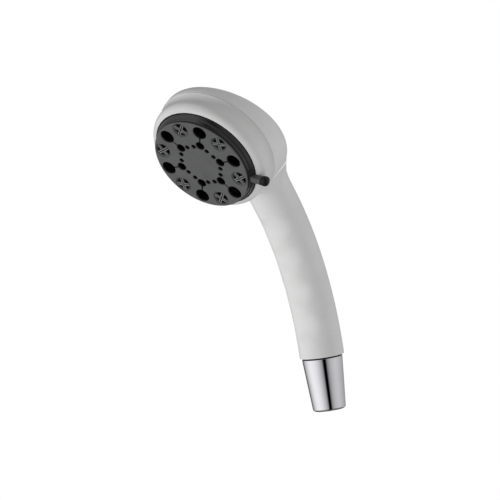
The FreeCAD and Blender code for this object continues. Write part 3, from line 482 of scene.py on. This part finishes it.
def head_distance(p):
    """Distance to the blended surface in the head frame, where the neck is straight."""
    past = np.minimum(p[..., 1] - NECK_REACH + NECK_STRAIGHT + NECK_TAPER, 0)
    depth = p[..., 2] - NECK_DEPTH
    radius = np.sqrt(p[..., 0] ** 2 + past ** 2 + depth ** 2)
    behind = 0.5 + 0.5 * depth / np.maximum(radius, TINY)
    rod = radius - HANDLE_R - widening(p[..., 1], behind)
    return blended(drum_distance(p), rod, p)


def solve(point_at, distance, low, high):
    """Where distance(point_at(r)) changes sign between low (inside) and high (outside)."""
    low, high = everywhere(low), everywhere(high)
    for _ in range(SOLVE_ROUNDS):
        middle = (low + high) / 2
        within = distance(point_at(middle)) < 0
        low, high = np.where(within, middle, low), np.where(within, high, middle)
    return (low + high) / 2


def seam_reach(depth, gap):
    """Distance of the neck joint from the spray axis at a depth, with its knee softened."""
    below = NECK_SEAM_KNEE - depth
    soft = 0.5 * (below + np.sqrt(below ** 2 + NECK_SEAM_SOFTNESS ** 2))
    run = soft / math.tan(NECK_SEAM_SLOPE)
    return NECK_SEAM + gap + NECK_SEAM_BACK * (below - soft) + run


def seam_curve(turns, gap):
    """Outline of the neck joint, in the head frame; turns count from behind the neck."""
    def point_at(r):
        z = NECK_DEPTH + r * np.cos(turns)
        return np.stack([r * np.sin(turns), seam_reach(z, gap), z], -1)
    return point_at(solve(point_at, head_distance, *NECK_RANGE))


def centreline(s):
    """Handle axis by arc length from the foot: row frame y and z in millimetres, and its turn."""
    lower = np.minimum(s, LOWER_LENGTH) / LOWER_BEND_R
    upper = np.clip(s - LOWER_LENGTH, 0, HANDLE_LENGTH - LOWER_LENGTH) / UPPER_BEND_R
    turn = lower + upper
    past = np.maximum(s - HANDLE_LENGTH, 0)
    y = LOWER_BEND_R * (np.cos(lower) - 1) + UPPER_BEND_R * (np.cos(turn) - np.cos(lower))
    z = LOWER_BEND_R * np.sin(lower) + UPPER_BEND_R * (np.sin(turn) - np.sin(lower))
    return y - past * np.sin(turn), HANDLE_BASE + z + past * np.cos(turn), turn


def handle_points(s, radius):
    """Row frame points about the axis, one for each of the turns, from the front towards +X."""
    y, z, turn = centreline(s)
    x, front = radius * np.sin(TURNS), radius * np.cos(TURNS)
    return np.stack([x, y - front * np.cos(turn), z - front * np.sin(turn)], -1)


def scalloped(s):
    """Radius of the handle with its finger scallops, at each of the turns."""
    radius = everywhere(HANDLE_R)
    back = SCALLOP_SPREAD_R - HANDLE_R + SCALLOP_DEPTH
    for i in range(SCALLOPS):
        away = s - (SCALLOP_FIRST + SCALLOP_PITCH * i)
        hollow = SCALLOP_SPREAD_R + SCALLOP_R - np.sqrt(np.maximum(SCALLOP_R ** 2 - away ** 2, 1))
        across = back * np.sin(TURNS)
        cut = np.sqrt(np.maximum(hollow ** 2 - across ** 2, 1)) - back * np.cos(TURNS)
        cut = np.where(np.abs(away) < SCALLOP_R * SCALLOP_REACH, cut, HANDLE_R * 2)
        share = np.maximum(SCALLOP_BLEND - np.abs(radius - cut), 0) / SCALLOP_BLEND
        radius = np.minimum(radius, cut) - share ** 2 * SCALLOP_BLEND / 4
    return radius


def handle_distance(s, radius):
    """Distance to the blended surface for points at that radius from the handle's axis."""
    p = to_head(handle_points(s, radius))
    y = HANDLE_LENGTH + NECK_REACH - s
    rod = radius - scalloped(s) - widening(y, 0.5 - 0.5 * np.cos(TURNS))
    return blended(drum_distance(p), rod, p)


# ---- Materials -----------------------------------------------------------------------------------
def add_node(tree, kind, inputs=(), **settings):
    """Adds a node with these settings, and links or sets its inputs."""
    node = tree.nodes.new(kind)
    for key, value in settings.items():
        setattr(node, key, value)
    for key, value in dict(inputs).items():
        if isinstance(value, bpy.types.NodeSocket):
            tree.links.new(value, node.inputs[key])
        else:
            node.inputs[key].default_value = value
    return node


class Finish:
    """Small wrapper that builds one Principled material from procedural nodes."""

    def __init__(self, name, **uniform):
        self.material = bpy.data.materials.new(name)
        self.material.use_nodes = True
        self.tree = self.material.node_tree
        self.shader = self.tree.nodes["Principled BSDF"]
        for key, value in uniform.items():
            self.shader.inputs[key.replace("_", " ")].default_value = value
        self.where = self.add("ShaderNodeTexCoord").outputs["Object"]
        self.normal = None

    def add(self, kind, inputs=(), **settings):
        return add_node(self.tree, kind, inputs, **settings)

    def feed(self, value, name):
        self.tree.links.new(value, self.shader.inputs[name])

    def noise(self, size, detail, stretch=None):
        """Noise with features of about size millimetres."""
        place = self.where
        if stretch:
            inputs = {"Vector": place, "Scale": stretch}
            place = self.add("ShaderNodeMapping", inputs).outputs["Vector"]
        inputs = {"Vector": place, "Scale": 1000.0 / size, "Detail": detail}
        return self.add("ShaderNodeTexNoise", inputs).outputs["Fac"]

    def ranged(self, value, low, high, start=0.3, end=0.7):
        """Maps start to end, by default the middle of a noise, to low to high."""
        inputs = {"Value": value, "From Min": start, "From Max": end, "To Min": low, "To Max": high}
        return self.add("ShaderNodeMapRange", inputs).outputs["Result"]

    def colour(self, value, dark, light):
        ramp = self.add("ShaderNodeValToRGB", {"Fac": value})
        for stop, at, tint in zip(ramp.color_ramp.elements, (0.3, 0.7), (dark, light)):
            stop.position = at
            stop.color = (*tint, 1)
        self.feed(ramp.outputs["Color"], "Base Color")

    def painted_recess_shade(self, start, end, share):
        """Painted shade: darkens colour and gloss with depth behind the face, in millimetres."""
        inputs = {0: self.where, 1: FACE_CENTRE}
        away = self.add("ShaderNodeVectorMath", inputs, operation="SUBTRACT")
        inputs = {0: away.outputs[0], 1: Z_HEAD}
        depth = self.add("ShaderNodeVectorMath", inputs, operation="DOT_PRODUCT")
        shade = self.ranged(depth.outputs["Value"], 1.0, share, start * MM, end * MM)
        plain = self.shader.inputs["Base Color"].links[0].from_socket
        mixed = self.add("ShaderNodeVectorMath", {0: plain, 1: shade}, operation="MULTIPLY")
        self.feed(mixed.outputs[0], "Base Color")
        self.feed(self.ranged(shade, 0.05, 0.5, share, 1.0), "Specular IOR Level")

    def rough(self, value):
        self.feed(value, "Roughness")

    def bump(self, value, depth):
        """Adds a bump of that depth in millimetres."""
        inputs = {"Height": value, "Distance": depth * MM, "Strength": 1.0}
        if self.normal:
            inputs["Normal"] = self.normal
        self.normal = self.add("ShaderNodeBump", inputs).outputs["Normal"]
        self.feed(self.normal, "Normal")


def moulded(name, dark, light, roughness, grain, depth, painted_recess_shade=None, **uniform):
    """Moulded plastic or rubber: mottling, uneven gloss, fine surface grain and a slow ripple, and painted shade
    in recesses where asked.
    """
    finish = Finish(name, **uniform)
    mottle, gloss, ripple, ripple_depth = 9, 5, 14, 0.012
    finish.colour(finish.noise(mottle, 4), dark, light)
    # painted shade that deepens behind the face, in holes and recesses
    if painted_recess_shade:
        finish.painted_recess_shade(*painted_recess_shade)
    finish.rough(finish.ranged(finish.noise(gloss, 5), *roughness))
    finish.bump(finish.noise(grain, 3), depth)
    finish.bump(finish.noise(ripple, 1), ripple_depth)
    return finish.material


def metal(name, dark, light, roughness, stretch, depth):
    """Plated or turned metal: tint that drifts, fine scratches one way, a few soft smears."""
    finish = Finish(name, Metallic=1.0)
    drift, smear, scratch = 12, 2.4, 0.6
    finish.colour(finish.noise(drift, 3), dark, light)
    finish.rough(finish.ranged(finish.noise(smear, 6), *roughness))
    finish.bump(finish.noise(scratch, 2, stretch), depth)
    return finish.material


# Arguments: name, darker and lighter tint, roughness range, size and depth of the grain in
# millimetres, and for the face and its inserts the depths between which painted shade darkens them, and how far
MATERIALS = {
    "white_shell": moulded(
        "white_abs", (0.705, 0.705, 0.702), (0.735, 0.735, 0.732), (0.26, 0.36), 0.45, 0.0016,
        IOR=1.5),
    "dark_face": moulded(
        "charcoal_face", (0.092, 0.093, 0.094), (0.108, 0.109, 0.110), (0.42, 0.56), 0.22, 0.006,
        (0.25, 1.3, 0.06), IOR=1.47),
    "dark_nozzle": moulded(
        "charcoal_nozzle", (0.21, 0.211, 0.213), (0.25, 0.251, 0.253), (0.28, 0.40), 0.3, 0.004,
        (0.35, 0.9, 0.05), IOR=1.5),
    "dark_gloss": moulded(
        "black_gloss", (0.012, 0.012, 0.013), (0.020, 0.020, 0.021), (0.16, 0.26), 0.6, 0.0015,
        IOR=1.52),
    # Painted shade: a darker copy of the white shell for the bezel
    "bezel_painted_shade": moulded(
        "white_abs_painted_shade_bezel", (0.655, 0.655, 0.652), (0.685, 0.685, 0.682), (0.26, 0.36), 0.45, 0.0016,
        IOR=1.5),
    # Painted highlight: a lighter, glossier copy of the white shell that glows, for the rim at the head joint
    "rim_painted_highlight": moulded(
        "glowing_rim_painted_highlight", (0.88, 0.88, 0.88), (0.92, 0.92, 0.92), (0.12, 0.2), 0.5, 0.001,
        IOR=1.5, Emission_Strength=0.26),
    "lever_stem": moulded(
        "satin_stem", (0.075, 0.076, 0.077), (0.092, 0.093, 0.094), (0.36, 0.48), 0.3, 0.004,
        IOR=1.47),
    "lever_knob": moulded(
        "black_knob", (0.006, 0.006, 0.007), (0.011, 0.011, 0.012), (0.20, 0.30), 0.5, 0.0015,
        Specular_IOR_Level=0.28),
    "chrome": metal(
        "chrome_plate", (0.85, 0.85, 0.885), (0.89, 0.89, 0.925), (0.008, 0.025), (1, 1, 6),
        0.0002),
    "brass": metal(
        "turned_brass", (0.60, 0.45, 0.20), (0.74, 0.60, 0.32), (0.22, 0.36), (1, 1, 14), 0.004),
    "steel": metal(
        "bright_steel", (0.50, 0.50, 0.51), (0.62, 0.62, 0.63), (0.20, 0.34), (1, 8, 1), 0.003),
    "rubber": moulded(
        "black_rubber", (0.020, 0.020, 0.020), (0.034, 0.034, 0.034), (0.55, 0.72), 0.5, 0.006,
        IOR=1.5),
    "inner_plastic": moulded(
        "natural_plastic", (0.58, 0.58, 0.55), (0.68, 0.68, 0.65), (0.42, 0.58), 0.5, 0.006,
        IOR=1.5),
    # Dark inner plastic of the CAD parts, also used as painted shade in the handle's foot, its joint lining and
    # the nut's top
    "inner_dark": moulded(
        "dark_inner_plastic_and_painted_shade", (0.018, 0.018, 0.019), (0.028, 0.028, 0.029), (0.45, 0.6), 0.5, 0.005,
        IOR=1.5),
    "turbine_plastic": moulded(
        "turbine_plastic", (0.026, 0.026, 0.028), (0.038, 0.038, 0.040), (0.4, 0.55), 0.5, 0.005,
        IOR=1.5),
}
for subpart in frame["record"]["subparts"]:
    node = frame["nodes"][subpart["node"]]
    node.data.materials.clear()
    node.data.materials.append(MATERIALS[subpart["material_slot"]])


# ---- Handle --------------------------------------------------------------------------------------
def handle_radius(s):
    return solve(lambda r: r, lambda r: handle_distance(s, r), *HANDLE_RANGE)


def handle_skin():
    """Handle from the painted-shade lining in its foot to its rim at the head joint, which carries a glowing
    painted highlight and a painted-shade lining behind it.
    """
    top = HANDLE_LENGTH + NECK_REACH - seam_curve(math.pi - TURNS, JOINT_GAP)[:, 1]
    shell_end = top - RIM_LENGTH
    shell = []
    for drop in np.linspace(0, math.pi / 2, FOOT_STEPS)[::-1]:
        s = everywhere(FOOT_ROUND * (1 - math.sin(drop)))
        inset = FOOT_ROUND * (1 - math.cos(drop))
        shell.append(handle_points(s, handle_radius(s) - inset))
    for t in chained(*HANDLE_SPANS)[1:]:
        s = FOOT_ROUND + (shell_end - FOOT_ROUND) * t
        shell.append(handle_points(s, handle_radius(s)))

    edge = handle_radius(shell_end)
    rim, lining = ([handle_points(shell_end + RIM_LENGTH * t, edge - inset) for t, inset in profile]
                   for profile in (RIM, RIM_LINING))
    deep = top - JOINT_LINING
    lining.append(handle_points(deep, handle_radius(deep) - LINING_WALL))

    foot = [(FOOT_BORE_DEPTH, FOOT_BORE_R), (FOOT_SKIRT, FOOT_BORE_R), (FOOT_SKIRT, FOOT_SKIRT_R),
            (0, FOOT_SKIRT_R)]
    foot = [handle_points(everywhere(s), everywhere(radius)) for s, radius in foot]
    return {
        "white_shell": in_row([skin(shell)]),
        # painted highlight on the rim at the head joint
        "rim_painted_highlight": in_row([skin(shell[-1:] + rim)]),
        # painted shade: dark sheets in the foot's bore and underside and inside the head joint
        "inner_dark": in_row([skin(foot + shell[:1]), skin(rim[-1:] + lining)]),
    }


piece("handle_skin", handle_skin(), "handpiece", ("handle_shell",))


# ---- Back of the head ----------------------------------------------------------------------------
NECK_EDGE = seam_curve(TURNS, 0.0)
OUTWARD = np.stack([np.sin(TURNS), -np.cos(TURNS), np.zeros(AROUND)], -1)
FRONT_EDGE = SHELL_R * OUTWARD + np.array([0, 0, SEAM_DEPTH + SEAM_GAP])


def head_ring(t, inset=0.0):
    """Ring of the head's surface, where t swings it from the neck joint to the front edge."""
    a, b = unit(NECK_EDGE - CORE), unit(FRONT_EDGE - CORE)
    angle = np.arccos(np.clip((a * b).sum(-1), -1, 1))[:, None]
    direction = (np.sin((1 - t) * angle) * a + np.sin(t * angle) * b) / np.sin(angle)

    def point_at(r):
        return CORE + direction * r[:, None]
    return point_at(solve(point_at, head_distance, *HEAD_RANGE) - inset)


def head_back():
    """Shell of the head with its inner side, from the lip at the neck joint round to the lip."""
    rings = [NECK_EDGE - unit(NECK_EDGE - np.array([0, reach, NECK_DEPTH])) * inset
             for reach, inset in NECK_LIP]
    rings += [head_ring(t) for t in chained(*HEAD_SPANS)]
    rings += [FRONT_EDGE - OUTWARD * FRONT_EDGE_ROUND, FRONT_EDGE - OUTWARD * FRONT_EDGE_WIDTH,
              FRONT_EDGE - OUTWARD * SHELL_WALL + np.array([0, 0, FRONT_EDGE_DEPTH])]
    rings += [head_ring(t, SHELL_WALL) for t in np.linspace(*INNER_SPAN)]
    return skin(rings, closed_rows=True, flip=True)


groups = {"white_shell": in_head([head_back(), lathe(rounded(TONGUE))])}
piece("head_back_skin", groups, "handpiece", ("head_back_shell",))

# ---- Bezel ---------------------------------------------------------------------------------------
bezel = rounded(BEZEL_INSIDE + flowing(BEZEL_FRONT) + BEZEL_BACK)
# the bezel takes the darker painted-shade copy of the white shell
groups = {"bezel_painted_shade": in_head([lathe(bezel, FINE_RING)])}
piece("head_bezel_skin", groups, "handpiece", ("head_bezel",), sharp=50)


# ---- Selector ring and lever ---------------------------------------------------------------------
def lever():
    """Finger lever along its clock angle: a flat stem that swells into a round knob."""
    outward = clock(1, LEVER_CLOCK)
    across = clock(1, LEVER_CLOCK + 90)
    turns = full_turn(LEVER_AROUND)
    rings = []
    for reach, depth, half_wide, half_deep in LEVER:
        power = STEM_POWER + (1 - STEM_POWER) * smooth_step(*KNOB_REACHES, reach)
        u = np.sign(np.cos(turns)) * np.abs(np.cos(turns)) ** power * half_wide
        w = np.sign(np.sin(turns)) * np.abs(np.sin(turns)) ** power * half_deep
        rings.append(np.column_stack([outward * reach + across * u[:, None], depth + w]))
    return skin(rings[:KNOB_FROM + 1], flip=True), skin(rings[KNOB_FROM:], flip=True)


stem, knob = lever()
groups = {
    "dark_gloss": in_head([lathe(rounded(SELECTOR_RING), FINE_RING)]),
    "lever_stem": in_head([stem]),
    "lever_knob": in_head([knob]),
}
piece("selector_ring_skin", groups, "spray_selector", ("selector_ring",), sharp=50)


# ---- Spray face ----------------------------------------------------------------------------------
def keyhole(degrees):
    """Outline of a large jet joined to its medium jet by a thin slot, anticlockwise."""
    out = clock(1, degrees)
    side = np.array([-out[1], out[0]])
    a = math.asin(SLOT_HALF / LARGE_JET_R)
    b = math.asin(SLOT_HALF / MEDIUM_JET_R)
    arcs = [(OUTER_CIRCLE_R, LARGE_JET_R, np.linspace(math.pi + a, 3 * math.pi - a, 52)),
            (HEXAGON_R, MEDIUM_JET_R, np.linspace(b, 2 * math.pi - b, 34))]
    return np.array([out * (reach + radius * math.cos(t)) + side * radius * math.sin(t)
                     for reach, radius, turns in arcs for t in turns])


def spray_face():
    """Face plate with its jets and nozzle seats, and the two round walls behind it."""
    holes = []
    for i in range(JETS):
        corner = clock(HEXAGON_R, FIRST_LARGE + JET_STEP * i)
        following = clock(HEXAGON_R, FIRST_LARGE + JET_STEP * (i + 1))
        holes.append(keyhole(FIRST_LARGE + JET_STEP * i))
        for share in (1, 2):
            place = corner + (following - corner) * share / 3
            holes.append(circle(SMALL_JET_R, SMALL_RING // 2, place))
        seat = clock(OUTER_CIRCLE_R, LEVER_CLOCK + JET_STEP * i)
        holes.append(circle(NOZZLE_R + NOZZLE_PLAY, SMALL_RING, seat))
    parts = plate(circle(FACE_R, 240), holes, 0.0, FACE_THICKNESS, FACE_EDGE, JET_EDGE)
    front, back = CHAMBER_DEPTHS
    for inner, outer, segments in CHAMBER_WALLS:
        outline = [(inner, front), (outer, front), (outer, back), (inner, back)]
        parts.append(lathe(outline, segments))
    return parts


groups = {"dark_face": in_head(spray_face())}
piece("spray_face_skin", groups, "spray_selector", ("spray_face",))


# ---- Star nozzles --------------------------------------------------------------------------------
def wedge(degrees, inner, outer, spread):
    """Three-cornered opening with soft corners, pointing at the nozzle's centre."""
    tip = clock(inner, degrees)
    left, right = clock(outer, degrees - spread), clock(outer, degrees + spread)
    middle = clock(outer * 1.06, degrees)
    loop = rounded([(*tip, .3), (*right, .35), (*middle, .6), (*left, .35)], 4)
    return loop if twice_area(loop) > 0 else loop[::-1]


def rib(degrees):
    """Grooved rib from the nozzle's centre outwards."""
    out, side = clock(1, degrees), clock(1, degrees + 90)
    section = np.array(RIB_HALF + [(-across, depth) for across, depth in RIB_HALF[::-1]])
    rings = []
    for reach, sink in RIB_LENGTH:
        flat = out * reach + side * section[:, :1]
        rings.append(np.column_stack([flat, section[:, 1] + sink]))
    points, faces = skin(rings)
    ends = [tuple(range(len(section)))[::-1], tuple(range(len(points)))[-len(section):]]
    return points, faces + ends


def nozzle():
    """Dished rim of an insert, then its recessed floor with four openings and its cross of ribs."""
    openings = [wedge(90 * i, *OPENING) for i in range(4)]
    outline = circle(NOZZLE_FLOOR_R, SMALL_RING)
    floor = plate(outline, openings, NOZZLE_FLOOR, NOZZLE_BACK, *NOZZLE_EDGES)
    return [lathe(rounded(NOZZLE_DISH), 64)] + floor + [rib(45 + 90 * i) for i in range(4)]


stars, dishes = [], []
for i in range(JETS):
    degrees = LEVER_CLOCK + JET_STEP * i
    turn = -math.radians(degrees)
    spin = np.array([[math.cos(turn), math.sin(turn), 0],
                     [-math.sin(turn), math.cos(turn), 0],
                     [0, 0, 1]])
    place = np.append(clock(OUTER_CIRCLE_R, degrees), 0)
    placed = [(points @ spin + place, faces) for points, faces in nozzle()]
    dishes.append(placed[0])
    stars += placed[1:]
# painted shade: the dish walls take the darker face material with its painted recess shade
groups = {"dark_nozzle": in_head(stars), "dark_face": in_head(dishes)}
piece("star_nozzles_skin", groups, "spray_selector", ("star_nozzles",))

# ---- Union nut -----------------------------------------------------------------------------------
slope = (NUT_TOP_R - NUT_BOTTOM_R) / NUT_LENGTH
nut = rounded([
    (NUT_BORE_R, 0, .3), (NUT_BOTTOM_R - NUT_CHAMFER, 0, .35),
    (NUT_BOTTOM_R + slope * NUT_CHAMFER, NUT_CHAMFER, .5), (NUT_TOP_R, NUT_LENGTH, .4),
    (NUT_SEAT_R, NUT_LENGTH, .3), (NUT_SEAT_R, NUT_SEAT), (NUT_BORE_R, NUT_SEAT, .3),
])
# Painted shade: a dark ring in the nut's top, where the gap to the handle lies in shadow
(inner, outer), (bottom, top) = NUT_LINING_R, NUT_LINING
lining = [(outer, bottom), (outer, top), (inner, top), (inner, bottom)]
groups = {"chrome": in_row([lathe(nut, NUT_RING)]), "inner_dark": in_row([lathe(lining, NUT_RING)])}
piece("union_nut_skin", groups, "hose_nut", ("union_nut",), sharp=50)

# ---- Camera --------------------------------------------------------------------------------------
AZIMUTH = math.radians(41.785)
ELEVATION = math.radians(4.112)
ROLL = math.radians(8.24)
DISTANCE = 2.2
LENS = 259.3
SENSOR = 36
AIM_OFFSET = Vector((-0.0304, 0.0257, -0.0009))
CENTRE = (CAD_BOX[0] + CAD_BOX[1]) / 2


def toward(bearing, elevation):
    """Direction by its bearing from the camera's side, positive to the camera's right, and its
    elevation, both in degrees."""
    a = AZIMUTH + math.radians(bearing)
    e = math.radians(elevation)
    return Vector((math.sin(a) * math.cos(e), -math.cos(a) * math.cos(e), math.sin(e)))


back = Vector((math.sin(AZIMUTH) * math.cos(ELEVATION), -math.cos(AZIMUTH) * math.cos(ELEVATION),
               math.sin(ELEVATION)))
level = Vector((math.cos(AZIMUTH), math.sin(AZIMUTH), 0))
right = level * math.cos(ROLL) - back.cross(level) * math.sin(ROLL)
axes = Matrix((right, back.cross(right), back)).transposed().to_4x4()
camera = bpy.data.objects.new("camera", bpy.data.cameras.new("camera"))
bpy.context.scene.collection.objects.link(camera)
camera.matrix_world = Matrix.Translation(CENTRE + AIM_OFFSET + back * DISTANCE) @ axes
camera.data.lens = LENS
camera.data.sensor_width = SENSOR
camera.data.clip_start = 0.05
camera.data.clip_end = 60
bpy.context.scene.camera = camera
bpy.context.scene.view_settings.view_transform = "Standard"

# ---- Floor: a pale disc well below the part, which neither reflects in it nor lights it ---------
FLOOR_DROP = 0.62
FLOOR_R = 3.3
FLOOR_CORNERS = 96
floor_mesh = bpy.data.meshes.new("floor")
floor_points = [(x, y, CAD_BOX[0].z - FLOOR_DROP) for x, y in circle(FLOOR_R, FLOOR_CORNERS)]
floor_mesh.from_pydata(floor_points, [], [range(FLOOR_CORNERS)])
floor = bpy.data.objects.new("floor", floor_mesh)
bpy.context.scene.collection.objects.link(floor)
floor_finish = Finish("pale_floor", Emission_Color=(1, 1, 1, 1), Emission_Strength=0.35)
floor_finish.colour(floor_finish.noise(400, 2), (0.86, 0.86, 0.86), (0.9, 0.9, 0.9))
floor_finish.rough(floor_finish.ranged(floor_finish.noise(300, 2), 0.85, 0.95))
floor_mesh.materials.append(floor_finish.material)
floor.visible_glossy = False
floor.visible_diffuse = False

# ---- Studio --------------------------------------------------------------------------------------
# Brightness of the surroundings in reflections, by bearing in degrees from the camera's side
PANELS = [
    (-180, 0.0), (-150, 0.12), (-128, 0.50), (-106, 0.78), (-89, 0.92), (-74, 0.96), (-47, 0.83),
    (-29, 0.63), (-17, 0.46), (-6, 0.27), (-1, 0.03), (3, 0.0), (9, 0.0), (14, 0.0), (18, 0.12),
    (22, 0.24), (29, 0.34), (35, 0.42), (47, 0.51), (60, 0.57), (74, 0.60), (89, 0.57),
    (106, 0.51), (128, 0.43), (150, 0.33), (180, 0.30),
]
FLAG = toward(10, 40)           # the even light is dimmed towards this direction
EVEN_LIGHT = (0.61, 0.35)       # its strength at right angles to the flag, and at the flag
LOW_BAND = (-0.6, -0.4)         # the panels fade out between these sines of the elevation
LOW_SHARE = 0.3                 # what is left of their brightness below that
WHITE = (1, 1, 1, 1)

world = bpy.data.worlds.new("studio")
bpy.context.scene.world = world
world.use_nodes = True
world.node_tree.nodes.clear()


def studio(kind, inputs=(), **settings):
    return add_node(world.node_tree, "ShaderNode" + kind, inputs, **settings).outputs


looking = studio("TexCoord")["Generated"]
turned = studio("VectorRotate", {"Vector": looking, "Angle": -AZIMUTH}, rotation_type="Z_AXIS")
aside = studio("SeparateXYZ", {"Vector": turned[0]})
ahead = studio("Math", {0: aside["Y"], 1: -1.0}, operation="MULTIPLY")
bearing = studio("Math", {0: aside["X"], 1: ahead[0]}, operation="ARCTAN2")
place = studio("MapRange", {"Value": bearing[0], "From Min": -math.pi, "From Max": math.pi})
ramp = add_node(world.node_tree, "ShaderNodeValToRGB", {"Fac": place[0]})
stops = ramp.color_ramp.elements
for stop, (degrees, value) in zip(stops, (PANELS[0], PANELS[-1])):
    stop.position = (degrees + 180) / 360
    stop.color = (value, value, value, 1)
for degrees, value in PANELS[1:-1]:
    stops.new((degrees + 180) / 360).color = (value, value, value, 1)
below = studio("MapRange", {"Value": aside["Z"], "From Min": LOW_BAND[0], "From Max": LOW_BAND[1],
                            "To Min": LOW_SHARE, "To Max": 1.0})
panels = studio("Background", {"Color": ramp.outputs["Color"], "Strength": below[0]})
near_flag = studio("VectorMath", {0: looking, 1: FLAG}, operation="DOT_PRODUCT")
dimmed = studio("MapRange", {"Value": near_flag["Value"], "From Min": 0.0, "From Max": 1.0,
                             "To Min": EVEN_LIGHT[0], "To Max": EVEN_LIGHT[1]})
even = studio("Background", {"Color": WHITE, "Strength": dimmed[0]})
seen = studio("LightPath")
lit = studio("MixShader", {0: seen["Is Diffuse Ray"], 1: panels[0], 2: even[0]})
plain = studio("Background", {"Color": WHITE, "Strength": 1.0})
mixed = studio("MixShader", {0: seen["Is Camera Ray"], 1: lit[0], 2: plain[0]})
studio("OutputWorld", {"Surface": mixed[0]})


def softbox(name, bearing, elevation, distance, size, power):
    """Square area light that doesn't show in reflections, by its bearing from the camera's side."""
    way = toward(bearing, elevation)
    lamp = bpy.data.objects.new(name, bpy.data.lights.new(name, "AREA"))
    lamp.data.size = size
    lamp.data.energy = power
    lamp.location = CENTRE + way * distance
    lamp.rotation_mode = "QUATERNION"
    lamp.rotation_quaternion = way.to_track_quat("Z", "Y")
    lamp.visible_glossy = False
    bpy.context.scene.collection.objects.link(lamp)


softbox("key_softbox", -66, -14, 1.6, 0.6, 12.6)
softbox("fill_softbox", 80, -10, 1.6, 0.8, 4.6)
